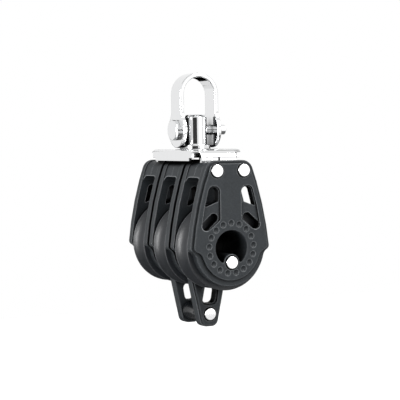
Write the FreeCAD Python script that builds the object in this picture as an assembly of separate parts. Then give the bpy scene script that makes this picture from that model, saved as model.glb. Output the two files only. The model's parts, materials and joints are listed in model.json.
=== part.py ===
import FreeCAD
import Part
import math
import os

# Triple swivel block: three ball-bearing sheaves side by side under a swivelling shackle, with a becket.
# X runs across the cheeks, Y along the sheave axis and Z up. All lengths are millimetres.
# Heights are measured from the sheave axis. save() moves every piece down by BOW_CROWN, so the finished
# part has its origin at the middle of the shackle bow's inner crown, where the block hangs.

# Sheave, one moulded wheel with a rope groove and a ball race in its bore
SHEAVE_D = 29.0
SHEAVE_WIDTH = 9.5
SHEAVE_PLAY = 0.35
GROOVE_DEPTH = 2.3
RIM_LAND = 0.5
RIM_CHAMFER = 0.25

# Ball race between the hub and the sheave
BALL_D = 3.0
BALL_GAP = 0.07
RACE_PLAY = 0.12
RACE_WALL = 2.22
HUB_WALL = 0.84
SHOULDER_GAP = 0.75

# Cheek plate, moulded with half of the hub and half of the top web
CHEEK_BASE = 2.7
CHEEK_PAD = 0.9
PAD_INSET = 0.4
EDGE_BREAK = 0.25
SHIELD_BOTTOM = -0.4
SHIELD_TOP_HALF = 7.95
SHIELD_COVER = 0.4
SIDE_BULGE = 1.0
SHIELD_TOP_CORNER = 4.0
SHIELD_LOW_CORNER = 1.0
LEDGE_INSET = 1.1
PAD_DISC_INSET = 2.4
PAD_WAIST_R = 1.6
HUB_CHAMFER = 0.35
RIVET_BOSS_R = 2.9
BOSS_INSET = 1.05
DIMPLE_R = 0.82
DIMPLE_DEPTH = 0.4

# Window on each side of the cheek, with a shallow pocket round it and a slanted slot below
WINDOW_INSET = 0.7
WINDOW_RIM = 3.1
WINDOW_DROP = 3.2
WINDOW_HEIGHT = 6.6
WINDOW_SLANT = 1.9
WINDOW_CORNERS = (1.8, 1.6, 0.35, 0.8)
POCKET_STEP = 0.3
POCKET_RIM = 2.8
POCKET_MARGIN = 0.35
POCKET_WAIST = 0.2
POCKET_FOOT = 4.1
POCKET_SILL = 0.7
POCKET_DEPTH = 0.6
POCKET_CORNERS = (2.0, 1.8, 3.0, 1.85, 0.9)
SLOT_REACH = 3.6
SLOT_ANGLES = (39.3, 58.5)
SLOT_R = 1.5

# Web between the cheeks at the top
THROAT = 9.1
WEB_HEIGHT = 5.6
WEB_INSET = 0.3
WEB_GUSSET = 2.2

# Rivets that run through all three blocks
RIVET_D = 2.5
RIVET_FIT = 0.05
RIVET_HEAD_D = 4.25
RIVET_HEAD = 1.0
RIVET_HEAD_BREAK = 0.2
COUNTERBORE_GAP = 0.325
COUNTERBORE_DEPTH = 0.5
UPPER_RIVET_INSET = 2.95
UPPER_RIVET_DROP = 3.4

# Head bracket, one folded tray of stainless sheet
SHEET = 1.2
TRAY_OVERHANG = 1.25
LIP_COVER = 0.2
TRAY_SIDE_BEND = 1.6
TRAY_END_BEND = 3.5
TONGUE_INSET = 1.3
TONGUE_SEAT = 0.2
TONGUE_CORNER = 1.6
TONGUE_FIT = 0.05
TONGUE_SLIT = 0.5
SLIT_ABOVE_CHEEK = 1.2
CORNER_GAP = 1.6
LIP_GAP = 2.6
LIP_STEP = 2.0
LIP_STEP_HEIGHT = 1.0

# Swivel post and the washer under its peened end
SPIGOT_D = 5.0
SPIGOT_FIT = 0.05
SWIVEL_PLAY = 0.05
POST_FLANGE_RIM = 1.3
POST_FLANGE = 1.25
POST_D = 8.2
POST_CAP = 3.45
POST_CHAMFER = 0.8
POST_FOOT_FILLET = 0.5
WASHER_RIM = 2.1
SWIVEL_WASHER = 0.8
PEEN_RIM = 0.8
PEEN = 1.0
PEEN_CLEARANCE = 0.75

# Shackle: a bent flat strip and its clevis pin
PIN_D = 3.5
PIN_FIT = 0.05
PIN_HEAD_RIM = 1.8
PIN_HEAD = 1.6
PIN_HEAD_BREAK = 0.3
PIN_STUB = 4.05
PIN_STUB_BREAK = 0.35
BOW_STRIP = 1.5
BOW_WIDTH = 7.7
BOW_REACH = 19.7
BOW_CLEARANCE = 0.45
BOW_EDGE = 0.45
LOBE_R = 6.2
LOBE_BLEND_R = 5.0
LOBE_CLEARANCE = 0.4

# Becket: two arms on the middle block, with a spool riveted between their ends
BECKET_DROP = 10.4
ARM_TOP_HALF = 6.7
ARM_COVER = 2.65
ARM_LOW_HALF = 3.0
ARM_END = 4.3
ARM_CORNER = 2.4
ARM_CHEEK_GAP = 0.25
ARM_PAD_STEP = 0.7
ARM_PAD_INSET = 0.45
ARM_BRIDGE = 1.3
ARM_WINDOW_TOP_HALF = 2.9
ARM_WINDOW_LOW_HALF = 1.9
ARM_WINDOW_ABOVE_RIVET = 3.7
ARM_WINDOW_CORNER = 1.3
TANG = 1.8
TANG_HALF = 3.4
TANG_LENGTH = 0.3
TANG_FIT = 0.05
SPOOL_END_D = 7.0
SPOOL_WAIST_D = 5.3
SPOOL_FIT = 0.05

# Worked out for the sheave, its balls and the hub
SHEAVE_R = SHEAVE_D / 2
BALL_R = BALL_D / 2
RACE_R = BALL_R + RACE_PLAY
BALL_CIRCLE_R = SHEAVE_R - GROOVE_DEPTH - RACE_WALL - RACE_R
BALL_COUNT = int(math.pi / math.asin((BALL_R + BALL_GAP / 2) / BALL_CIRCLE_R))
HUB_HOLE_R = BALL_CIRCLE_R - RACE_R - HUB_WALL

# Worked out for the cheeks and the stack of three blocks
HALF_GAP = SHEAVE_WIDTH / 2 + SHEAVE_PLAY
CHEEK = CHEEK_BASE + CHEEK_PAD
PITCH = 2 * (HALF_GAP + CHEEK)
STACK_HALF = 1.5 * PITCH
WEB_BOTTOM = SHEAVE_R + THROAT
SHIELD_TOP = WEB_BOTTOM + WEB_HEIGHT
SHIELD_LOW_HALF = SHEAVE_R + SHIELD_COVER
LEDGE_R = SHEAVE_R - LEDGE_INSET
PAD_DISC_R = LEDGE_R - PAD_DISC_INSET
UPPER_RIVET_X = SHIELD_TOP_HALF - UPPER_RIVET_INSET
UPPER_RIVET_Z = SHIELD_TOP - UPPER_RIVET_DROP
WINDOW_X = UPPER_RIVET_X - WINDOW_INSET
POCKET_X = WINDOW_X - POCKET_STEP
LOWER_RIVET_Z = BOSS_INSET - HUB_HOLE_R
COUNTERBORE_R = RIVET_HEAD_D / 2 + COUNTERBORE_GAP
HEAD_SEAT = STACK_HALF - COUNTERBORE_DEPTH

# Worked out for the head, upwards from the cheeks' top
WASHER_TOP = SHIELD_TOP + PEEN_CLEARANCE + PEEN + SWIVEL_WASHER
TRAY_UNDERSIDE = WASHER_TOP + SWIVEL_PLAY
TRAY_TOP = TRAY_UNDERSIDE + SHEET
TRAY_LIP = SHIELD_TOP - LIP_COVER
TRAY_HALF_WIDTH = SHIELD_TOP_HALF + TRAY_OVERHANG
TRAY_HALF_LENGTH = PITCH + SHEET / 2
TONGUE_HALF = SHIELD_TOP_HALF - TONGUE_INSET
TONGUE_BOTTOM = WEB_BOTTOM + TONGUE_SEAT
POST_FLANGE_R = POST_D / 2 + POST_FLANGE_RIM
PIN_Z = TRAY_TOP + LOBE_CLEARANCE + LOBE_R
POST_TOP = PIN_Z + PIN_D / 2 + POST_CAP
BOW_HALF = POST_FLANGE_R + BOW_CLEARANCE + BOW_STRIP
BOW_TOP = PIN_Z + BOW_REACH
BOW_CROWN = BOW_TOP - BOW_STRIP

# Worked out for the becket, downwards from the cheeks' ledge
BECKET_RIVET_Z = -LEDGE_R - BECKET_DROP
ARM_SHOULDER = ARM_COVER - LEDGE_R
ARM_TOP = -LEDGE_R - TANG_LENGTH
ARM_BOTTOM = BECKET_RIVET_Z - ARM_END
ARM_WINDOW_TOP = -LEDGE_R - ARM_BRIDGE
ARM_WINDOW_BOTTOM = BECKET_RIVET_Z + ARM_WINDOW_ABOVE_RIVET

# The most of an outline's side that the arcs at its two ends take
ARC_SHARE = 0.98

# How far a cut runs past the face that it opens, and a length greater than any piece's
OVERCUT = 1.0
FAR = 100.0


def vec(x, y, z):
    return FreeCAD.Vector(x, y, z)


def rod_x(radius, x0, x1, y=0.0, z=0.0):
    """Cylinder along X."""
    return Part.makeCylinder(radius, x1 - x0, vec(x0, y, z), vec(1, 0, 0))


def rod_y(radius, y0, y1, x=0.0, z=0.0):
    """Cylinder along Y."""
    return Part.makeCylinder(radius, y1 - y0, vec(x, y0, z), vec(0, 1, 0))


def rod_z(radius, z0, z1, x=0.0, y=0.0):
    """Cylinder along Z."""
    return Part.makeCylinder(radius, z1 - z0, vec(x, y, z0), vec(0, 0, 1))


def block(x0, x1, y0, y1, z0, z1):
    """Box between two corners."""
    return Part.makeBox(x1 - x0, y1 - y0, z1 - z0, vec(x0, y0, z0))


def mirrored(shape, normal):
    """Mirror image through the origin plane with this normal."""
    return shape.mirror(vec(0, 0, 0), normal)


def both_sides(shape):
    """A shape and its mirror image across X."""
    return shape.fuse(mirrored(shape, vec(1, 0, 0)))


def corner_reaches(corners):
    """How far each corner's arc reaches along its sides. Two arcs take at most ARC_SHARE of a side."""
    count = len(corners)
    points = [FreeCAD.Vector(a, b, 0) for a, b, radius in corners]
    sides = [points[(i + 1) % count] - points[i] for i in range(count)]
    wanted = [corners[i][2] / math.tan(sides[i].getAngle(-sides[i - 1]) / 2) for i in range(count)]
    shares = []
    for i in range(count):
        room = ARC_SHARE * sides[i].Length
        both = wanted[i] + wanted[(i + 1) % count]
        shares.append(room / both if both > room else 1.0)
    return [wanted[i] * min(shares[i - 1], shares[i]) for i in range(count)]


def rounded_edges(corners, to_point):
    """Edges of a closed outline whose corners (a, b, radius) are rounded by tangent arcs."""
    count = len(corners)
    reaches = corner_reaches(corners)
    rounds = []
    for i in range(count):
        here = FreeCAD.Vector(*corners[i][:2], 0)
        before = FreeCAD.Vector(*corners[i - 1][:2], 0) - here
        after = FreeCAD.Vector(*corners[(i + 1) % count][:2], 0) - here
        before.normalize()
        after.normalize()
        half_angle = before.getAngle(after) / 2
        bisector = (before + after).normalize()
        radius = reaches[i] * math.tan(half_angle)
        middle = here + bisector * (radius / math.sin(half_angle) - radius)
        rounds.append((here + before * reaches[i], middle, here + after * reaches[i]))
    edges = []
    for i in range(count):
        start, middle, end = [to_point(p.x, p.y) for p in rounds[i]]
        following = to_point(rounds[(i + 1) % count][0].x, rounds[(i + 1) % count][0].y)
        if corners[i][2] > 0:
            edges.append(Part.Arc(start, middle, end).toShape())
        edges.append(Part.LineSegment(end, following).toShape())
    return edges


def plate_y(corners, y0, y1):
    """Plate with a rounded outline given in X and Z, from y0 to y1."""
    edges = rounded_edges(corners, lambda a, b: vec(a, y0, b))
    return Part.Face(Part.Wire(edges)).extrude(vec(0, y1 - y0, 0))


def plate_x(corners, x0, x1):
    """Plate with a rounded outline given in Y and Z, from x0 to x1."""
    edges = rounded_edges(corners, lambda a, b: vec(x0, a, b))
    return Part.Face(Part.Wire(edges)).extrude(vec(x1 - x0, 0, 0))


def upright_edges(solid, x, z):
    """Edges of a plate that run along Y at one corner."""
    found = []
    for edge in solid.Edges:
        ends = [vertex.Point for vertex in edge.Vertexes]
        if all(abs(p.x - x) < 0.02 and abs(p.z - z) < 0.02 for p in ends):
            found.append(edge)
    return found


def rim_edges(solid, y):
    """Edges of a plate that lie in the plane at y."""
    return [e for e in solid.Edges if abs(e.BoundBox.YMin - y) < 1e-4 and abs(e.BoundBox.YMax - y) < 1e-4]


def top_edges(solid, z):
    """Edges of a turned piece that lie at its top."""
    return [edge for edge in solid.Edges if edge.BoundBox.ZMin > z - 1e-4]


def bowed_side(inset, y):
    """Right side of the cheek's upper part, an arc from its top corner down to its foot."""
    top_half = SHIELD_TOP_HALF - inset
    low_half = SHIELD_LOW_HALF - inset
    top = SHIELD_TOP - inset
    middle = vec((top_half + low_half) / 2 + SIDE_BULGE, y, (SHIELD_TOP + SHIELD_BOTTOM) / 2)
    return Part.Arc(vec(top_half, y, top), middle, vec(low_half, y, SHIELD_BOTTOM))


def side_half(z):
    """Half-width of the cheek's upper part at one height."""
    circle = bowed_side(0, 0).toShape().Curve
    return circle.Center.x + math.sqrt(circle.Radius**2 - (z - circle.Center.z)**2)


def shield(inset, y0, y1):
    """Upper part of the cheek: flat top, bowed sides that widen downwards, rounded corners."""
    top = SHIELD_TOP - inset
    low = SHIELD_BOTTOM
    top_half = SHIELD_TOP_HALF - inset
    low_half = SHIELD_LOW_HALF - inset
    right = bowed_side(inset, y0).toShape()
    left = mirrored(right, vec(1, 0, 0))
    ridge = Part.LineSegment(vec(-top_half, y0, top), vec(top_half, y0, top))
    foot = Part.LineSegment(vec(low_half, y0, low), vec(-low_half, y0, low))
    wire = Part.Wire([ridge.toShape(), right, foot.toShape(), left])
    plate = Part.Face(wire).extrude(vec(0, y1 - y0, 0))
    for side in (-1, 1):
        plate = plate.makeFillet(SHIELD_TOP_CORNER - inset, upright_edges(plate, side * top_half, top))
        plate = plate.makeFillet(SHIELD_LOW_CORNER, upright_edges(plate, side * low_half, low))
    return plate


def pad_plate(y0, y1):
    """Raised pad of the cheek: the inset shield flowing into the smaller disc, its outer rim broken."""
    plate = shield(PAD_INSET, y0, y1).fuse(rod_y(PAD_DISC_R, y0, y1)).removeSplitter()
    waist_x = math.sqrt(PAD_DISC_R**2 - SHIELD_BOTTOM**2)
    for side in (-1, 1):
        plate = plate.makeFillet(PAD_WAIST_R, upright_edges(plate, side * waist_x, SHIELD_BOTTOM))
    return plate.makeChamfer(EDGE_BREAK, rim_edges(plate, y0))


def half_hub():
    """Half of the hub ring from the cheek to the middle of the sheave, with half of the ball groove."""
    shoulder = BALL_CIRCLE_R - SHOULDER_GAP
    groove_half = math.sqrt(RACE_R**2 - SHOULDER_GAP**2)
    slant = math.atan2(groove_half, SHOULDER_GAP) / 2
    middle = vec(BALL_CIRCLE_R - RACE_R * math.cos(slant), -RACE_R * math.sin(slant), 0)
    inner_end = vec(BALL_CIRCLE_R - RACE_R, 0, 0)
    groove = Part.Arc(vec(shoulder, -groove_half, 0), middle, inner_end)
    corners = [inner_end, vec(HUB_HOLE_R, 0, 0), vec(HUB_HOLE_R, -HALF_GAP, 0), vec(shoulder, -HALF_GAP, 0)]
    corners.append(vec(shoulder, -groove_half, 0))
    edges = [Part.LineSegment(corners[i], corners[i + 1]).toShape() for i in range(4)]
    face = Part.Face(Part.Wire(edges + [groove.toShape()]))
    return face.revolve(vec(0, 0, 0), vec(0, 1, 0), 360)


def half_web(holds_tongue):
    """Half of the web that joins the two cheeks at the top, with gussets under it."""
    outline = shield(WEB_INSET, -HALF_GAP, 0)
    web = outline.common(block(-FAR, FAR, -HALF_GAP, 0, WEB_BOTTOM, FAR))
    low = WEB_BOTTOM - WEB_GUSSET
    turn = WEB_GUSSET * (1 - math.sqrt(0.5))
    toe = vec(-FAR, -HALF_GAP, low)
    bend = vec(-FAR, -HALF_GAP + turn, WEB_BOTTOM - turn)
    heel = vec(-FAR, -HALF_GAP + WEB_GUSSET, WEB_BOTTOM)
    corner = vec(-FAR, -HALF_GAP, WEB_BOTTOM)
    curves = [Part.Arc(toe, bend, heel), Part.LineSegment(heel, corner), Part.LineSegment(corner, toe)]
    gusset = Part.Face(Part.Wire([curve.toShape() for curve in curves])).extrude(vec(2 * FAR, 0, 0))
    web = web.fuse(gusset.common(outline))
    if holds_tongue:
        half_slot = SHEET / 2 + TONGUE_FIT
        reach = TONGUE_HALF + TONGUE_FIT
        web = web.cut(block(-reach, reach, -half_slot, half_slot, TONGUE_BOTTOM - TONGUE_FIT, FAR))
    return web


def tang_outline(fit, y0, y1):
    """Flat upper end of a becket arm: parallel sides and a round end on the lower rivet's boss."""
    half = TANG_HALF + fit
    tip = rod_y(RIVET_BOSS_R + fit, y0, y1, z=LOWER_RIVET_Z)
    return block(-half, half, y0, y1, ARM_TOP, LOWER_RIVET_Z).fuse(tip)


def cheek(dimpled=False, holds_tongue=True, holds_becket=False):
    """Near cheek of a block whose middle plane is at y = 0. The far cheek is its mirror image."""
    outer = -HALF_GAP - CHEEK
    ledge = -HALF_GAP - CHEEK_BASE
    base = shield(0, ledge, -HALF_GAP).fuse(rod_y(LEDGE_R, ledge, -HALF_GAP)).removeSplitter()
    base = base.makeChamfer(EDGE_BREAK, rim_edges(base, ledge))
    body = base.fuse([pad_plate(outer, ledge), half_hub(), half_web(holds_tongue)])
    body = body.cut(rod_y(HUB_HOLE_R, outer, 0))
    mouth = Part.makeCone(HUB_HOLE_R + HUB_CHAMFER, HUB_HOLE_R, HUB_CHAMFER, vec(0, outer, 0), vec(0, 1, 0))
    body = body.cut(mouth)
    boss = rod_y(RIVET_BOSS_R, outer, 0, z=LOWER_RIVET_Z)
    race_floor = BALL_CIRCLE_R - RACE_R
    body = body.fuse(boss.common(rod_y(race_floor, outer, 0)))
    openings = [rod_y(SLOT_R, outer, -HALF_GAP, x, z) for x, z in slot_ends()]
    openings.append(slot_bar(outer, -HALF_GAP))
    openings.append(plate_y(window_corners(), outer, -HALF_GAP))
    openings.append(plate_y(pocket_corners(), outer, outer + POCKET_DEPTH))
    for opening in openings:
        body = body.cut(both_sides(opening))
    for x, z in rivet_places():
        body = body.cut(rod_y(RIVET_D / 2 + RIVET_FIT, outer, 0, x, z))
    if dimpled:
        body = cut_outer_face(body, outer)
    if holds_becket:
        body = body.cut(tang_outline(TANG_FIT, outer, outer + TANG))
    return body.removeSplitter()


def slot_ends():
    """Centres of the slanted slot's two round ends, the lower one first, just outside the ball row."""
    reach = BALL_CIRCLE_R + SLOT_REACH
    angles = [math.radians(angle) for angle in SLOT_ANGLES]
    return [(reach * math.cos(angle), reach * math.sin(angle)) for angle in angles]


def slot_bar(y0, y1):
    """Straight middle of the slanted slot between its two round ends."""
    low, high = slot_ends()
    run_x = high[0] - low[0]
    run_z = high[1] - low[1]
    run = math.hypot(run_x, run_z)
    side_x = -run_z / run * SLOT_R
    side_z = run_x / run * SLOT_R
    corners = []
    for (x, z), sign in ((low, 1), (high, 1), (high, -1), (low, -1)):
        corners.append((x + sign * side_x, z + sign * side_z, 0))
    return plate_y(corners, y0, y1)


def window_corners():
    """Window between the web and the sheave's rim, its outer edge along the bowed side."""
    top = WEB_BOTTOM - WINDOW_DROP
    low = top - WINDOW_HEIGHT
    top_x = side_half(top) - WINDOW_RIM
    low_x = side_half(low) - WINDOW_RIM
    places = [(WINDOW_X, top), (top_x, top), (low_x, low), (WINDOW_X, low + WINDOW_SLANT)]
    return [(x, z, radius) for (x, z), radius in zip(places, WINDOW_CORNERS)]


def pocket_corners():
    """Shallow pocket round the window and the slot, its outer edge along the bowed side."""
    low_end, high_end = slot_ends()
    top = WEB_BOTTOM - WINDOW_DROP + POCKET_MARGIN
    waist = WEB_BOTTOM - WINDOW_DROP - WINDOW_HEIGHT + POCKET_WAIST
    foot = low_end[1] - POCKET_FOOT
    places = [(POCKET_X, top)]
    places += [(side_half(z) - POCKET_RIM, z) for z in (top, waist, foot)]
    places.append((POCKET_X, high_end[1] - POCKET_SILL))
    return [(x, z, radius) for (x, z), radius in zip(places, POCKET_CORNERS)]


def cut_outer_face(body, outer):
    """Counterbores for the rivet heads and a ring of blind dimples, one over each ball."""
    for x, z in rivet_places():
        body = body.cut(rod_y(COUNTERBORE_R, outer, outer + COUNTERBORE_DEPTH, x, z))
    for i in range(BALL_COUNT):
        angle = 2 * math.pi * i / BALL_COUNT
        x = BALL_CIRCLE_R * math.sin(angle)
        z = BALL_CIRCLE_R * math.cos(angle)
        body = body.cut(rod_y(DIMPLE_R, outer, outer + DIMPLE_DEPTH, x, z))
    return body


def rivet_places():
    """Places of the three through rivets as (x, z)."""
    return [(-UPPER_RIVET_X, UPPER_RIVET_Z), (UPPER_RIVET_X, UPPER_RIVET_Z), (0, LOWER_RIVET_Z)]


def sheave():
    """Grooved wheel: flat sides, narrow rims, a wide shallow rope groove and a ball race in the bore."""
    half = SHEAVE_WIDTH / 2
    land = half - RIM_LAND
    bore = BALL_CIRCLE_R + SHOULDER_GAP
    race_half = math.sqrt(RACE_R**2 - SHOULDER_GAP**2)
    outside = [(bore, -race_half), (bore, -half), (SHEAVE_R - RIM_CHAMFER, -half)]
    outside += [(SHEAVE_R, RIM_CHAMFER - half), (SHEAVE_R, -land)]
    points = [vec(r, y, 0) for r, y in outside]
    mirror_points = [vec(r, -y, 0) for r, y in reversed(outside)]
    edges = [Part.LineSegment(points[i], points[i + 1]).toShape() for i in range(4)]
    edges.append(Part.Arc(points[-1], vec(SHEAVE_R - GROOVE_DEPTH, 0, 0), mirror_points[0]).toShape())
    edges += [Part.LineSegment(mirror_points[i], mirror_points[i + 1]).toShape() for i in range(4)]
    edges.append(Part.Arc(mirror_points[-1], vec(BALL_CIRCLE_R + RACE_R, 0, 0), points[0]).toShape())
    return Part.Face(Part.Wire(edges)).revolve(vec(0, 0, 0), vec(0, 1, 0), 360)


def ball_row():
    """Full row of balls in one race."""
    balls = []
    for i in range(BALL_COUNT):
        angle = 2 * math.pi * i / BALL_COUNT
        centre = vec(BALL_CIRCLE_R * math.sin(angle), 0, BALL_CIRCLE_R * math.cos(angle))
        balls.append(Part.makeSphere(BALL_R, centre))
    return Part.makeCompound(balls)


def through_rivet(x, z, seat, head_r, head, shank_r):
    """Rivet along Y with a flat head at each end, its rim broken."""
    rivet = rod_y(shank_r, -seat, seat, x, z)
    for side in (-1, 1):
        flat = rod_y(head_r, seat, seat + head, x, z)
        flat = flat.makeChamfer(RIVET_HEAD_BREAK, rim_edges(flat, seat + head))
        rivet = rivet.fuse(flat if side > 0 else mirrored(flat, vec(0, 1, 0)))
    return rivet.removeSplitter()


def tray_shell(inset):
    """Solid of the tray's outer or inner form: long side bends crossed with larger end bends."""
    half_width = TRAY_HALF_WIDTH - inset
    half_length = TRAY_HALF_LENGTH - inset
    top = TRAY_TOP - inset
    low = TRAY_LIP - (SHEET if inset else 0)
    across = [(-half_width, top, TRAY_SIDE_BEND - inset), (half_width, top, TRAY_SIDE_BEND - inset)]
    across += [(half_width, low, 0), (-half_width, low, 0)]
    along = [(-half_length, top, TRAY_END_BEND - inset), (half_length, top, TRAY_END_BEND - inset)]
    along += [(half_length, low, 0), (-half_length, low, 0)]
    return plate_y(across, -half_length, half_length).common(plate_x(along, -half_width, half_width))


def tongue():
    """End tongue that hangs into the web of an outer block."""
    outer = -TRAY_HALF_LENGTH
    high = TRAY_TOP - TRAY_END_BEND
    corners = [(-TONGUE_HALF, high, 0), (TONGUE_HALF, high, 0)]
    corners += [(TONGUE_HALF, TONGUE_BOTTOM, TONGUE_CORNER), (-TONGUE_HALF, TONGUE_BOTTOM, TONGUE_CORNER)]
    return plate_y(corners, outer, outer + SHEET)


def open_corner():
    """Room cut out of one corner of the tray: a notch in the plate, and a shorter, stepped side lip."""
    below = TRAY_LIP - SHEET
    notch = block(TONGUE_HALF, FAR, TRAY_HALF_LENGTH - CORNER_GAP, FAR, below, FAR)
    lip_end = TRAY_HALF_LENGTH - LIP_GAP
    lip = block(TONGUE_HALF, FAR, lip_end, FAR, below, TRAY_UNDERSIDE)
    bend_start = TRAY_HALF_WIDTH - TRAY_SIDE_BEND
    step = block(bend_start, FAR, lip_end - LIP_STEP, FAR, below, TRAY_LIP + LIP_STEP_HEIGHT)
    return notch.fuse([lip, step])


def head_bracket():
    """Folded tray that carries the blocks: side lips, end tongues, open corners and the swivel hole."""
    tray = tray_shell(0).cut(tray_shell(SHEET))
    corners = both_sides(open_corner())
    tray = tray.cut([corners, mirrored(corners, vec(0, 1, 0))])
    near = tongue()
    tray = tray.fuse([near, mirrored(near, vec(0, 1, 0))])
    tray = tray.cut(rod_z(SPIGOT_D / 2 + SPIGOT_FIT, TRAY_LIP, FAR))
    for side in (-1, 1):
        tray = tray.cut(rod_y(RIVET_D / 2 + RIVET_FIT, -FAR, FAR, side * UPPER_RIVET_X, UPPER_RIVET_Z))
    slit_half = TONGUE_SLIT / 2
    slit_low = UPPER_RIVET_Z + RIVET_D
    tray = tray.cut(block(-slit_half, slit_half, -FAR, FAR, slit_low, SHIELD_TOP + SLIT_ABOVE_CHEEK))
    return tray.removeSplitter()


def swivel_post():
    """Turned post: peened end, spigot through the tray, flange, column and the cross bore for the pin."""
    flange_low = TRAY_TOP + SWIVEL_PLAY
    flange_top = flange_low + POST_FLANGE
    peen_top = WASHER_TOP - SWIVEL_WASHER
    post = rod_z(SPIGOT_D / 2 + PEEN_RIM, peen_top - PEEN, peen_top)
    post = post.fuse(rod_z(SPIGOT_D / 2, peen_top, flange_low))
    flange = rod_z(POST_FLANGE_R, flange_low, flange_top)
    flange = flange.makeChamfer(EDGE_BREAK, top_edges(flange, flange_top))
    column = rod_z(POST_D / 2, flange_low, POST_TOP)
    column = column.makeChamfer(POST_CHAMFER, top_edges(column, POST_TOP))
    foot_r = POST_D / 2 + POST_FOOT_FILLET
    foot = Part.makeCone(foot_r, POST_D / 2, POST_FOOT_FILLET, vec(0, 0, flange_top), vec(0, 0, 1))
    post = post.fuse([flange, column, foot])
    post = post.cut(rod_x(PIN_D / 2 + PIN_FIT, -FAR, FAR, z=PIN_Z))
    return post.removeSplitter()


def swivel_washer():
    """Washer between the tray and the post's peened end."""
    low = WASHER_TOP - SWIVEL_WASHER
    ring = rod_z(SPIGOT_D / 2 + WASHER_RIM, low, WASHER_TOP)
    return ring.cut(rod_z(SPIGOT_D / 2 + SPIGOT_FIT, low, WASHER_TOP))


def bow_arch(half, low, y_half):
    """Arch-shaped plate: a semicircle on straight legs down to low."""
    centre = BOW_TOP - BOW_HALF
    arch = rod_y(half, -y_half, y_half, z=centre)
    return arch.fuse(block(-half, half, -y_half, y_half, low, centre)).removeSplitter()


def shackle_bow():
    """Flat strip bent to a bow, its legs ending in round lobes on the clevis pin."""
    low = PIN_Z - LOBE_R
    inside = bow_arch(BOW_HALF - BOW_STRIP, low - OVERCUT, LOBE_R + OVERCUT)
    strip = bow_arch(BOW_HALF, low, LOBE_R).cut(inside)
    half = BOW_WIDTH / 2
    blend_y = half + LOBE_BLEND_R
    rise = math.sqrt((LOBE_R + LOBE_BLEND_R)**2 - blend_y**2)
    touch_y = blend_y * LOBE_R / (LOBE_R + LOBE_BLEND_R)
    touch_z = PIN_Z + rise * LOBE_R / (LOBE_R + LOBE_BLEND_R)
    leg_end = PIN_Z + rise
    turn = math.atan2(rise, blend_y) / 2
    bend_y = blend_y - LOBE_BLEND_R * math.cos(turn)
    bend_z = leg_end - LOBE_BLEND_R * math.sin(turn)
    x = -FAR
    lobe = Part.Arc(vec(x, -touch_y, touch_z), vec(x, 0, low), vec(x, touch_y, touch_z))
    right = Part.Arc(vec(x, touch_y, touch_z), vec(x, bend_y, bend_z), vec(x, half, leg_end))
    left = Part.Arc(vec(x, -half, leg_end), vec(x, -bend_y, bend_z), vec(x, -touch_y, touch_z))
    high = BOW_TOP + OVERCUT
    up = Part.LineSegment(vec(x, half, leg_end), vec(x, half, high))
    over = Part.LineSegment(vec(x, half, high), vec(x, -half, high))
    down = Part.LineSegment(vec(x, -half, high), vec(x, -half, leg_end))
    wire = Part.Wire([curve.toShape() for curve in (lobe, right, up, over, down, left)])
    side_view = Part.Face(wire).extrude(vec(2 * FAR, 0, 0))
    bow = strip.common(side_view).removeSplitter()
    bow = bow.makeFillet(BOW_EDGE, bow.Edges)
    return bow.cut(rod_x(PIN_D / 2 + PIN_FIT, -FAR, FAR, z=PIN_Z))


def clevis_pin():
    """Pin through the bow and the post, with a round flat head and a stub beyond the far leg."""
    end = BOW_HALF + PIN_STUB
    shank = rod_x(PIN_D / 2, -BOW_HALF, end, z=PIN_Z)
    shank = shank.makeChamfer(PIN_STUB_BREAK, [e for e in shank.Edges if e.BoundBox.XMin > end - 1e-4])
    face = -BOW_HALF - PIN_HEAD
    head = rod_x(PIN_D / 2 + PIN_HEAD_RIM, face, -BOW_HALF, z=PIN_Z)
    head = head.makeChamfer(PIN_HEAD_BREAK, [e for e in head.Edges if e.BoundBox.XMax < face + 1e-4])
    return shank.fuse(head).removeSplitter()


def arm_outline(inset):
    """Corners of a becket arm: sides that close towards the spool and a rounded lower end."""
    top_half = ARM_TOP_HALF - inset
    corners = [(-top_half, ARM_SHOULDER, 0), (top_half, ARM_SHOULDER, 0)]
    corner = ARM_CORNER - inset
    low = ARM_BOTTOM + inset
    corners += [(ARM_LOW_HALF - inset, low, corner), (inset - ARM_LOW_HALF, low, corner)]
    return corners


def arm_window(inset):
    """Corners of the window in a becket arm."""
    top = ARM_WINDOW_TOP - inset
    top_half = ARM_WINDOW_TOP_HALF + inset
    low_half = ARM_WINDOW_LOW_HALF + inset
    low = ARM_WINDOW_BOTTOM - inset
    places = [(-top_half, top), (top_half, top), (low_half, low), (-low_half, low)]
    return [(x, z, ARM_WINDOW_CORNER) for x, z in places]


def becket_arm():
    """Near becket arm: windowed plate with a raised outer pad, and a flat tang clamped in the seam."""
    inner = -HALF_GAP
    step = -HALF_GAP - CHEEK
    outer = step - ARM_PAD_STEP
    plate = plate_y(arm_outline(0), step, inner)
    pad = plate_y(arm_outline(ARM_PAD_INSET), outer, step)
    pad = pad.cut(plate_y(arm_window(ARM_PAD_INSET), outer, step))
    arm = plate.cut(plate_y(arm_window(0), step, inner)).fuse(pad)
    arm = arm.cut(rod_y(LEDGE_R + ARM_CHEEK_GAP, outer, inner))
    arm = arm.fuse(tang_outline(0, step, step + TANG))
    arm = arm.cut(rod_y(RIVET_D / 2 + RIVET_FIT, outer, inner, z=LOWER_RIVET_Z))
    arm = arm.cut(rod_y(RIVET_D / 2 + RIVET_FIT, outer, inner, z=BECKET_RIVET_Z))
    arm = arm.cut(rod_y(COUNTERBORE_R, outer, outer + COUNTERBORE_DEPTH, z=BECKET_RIVET_Z))
    return arm.removeSplitter()


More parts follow.
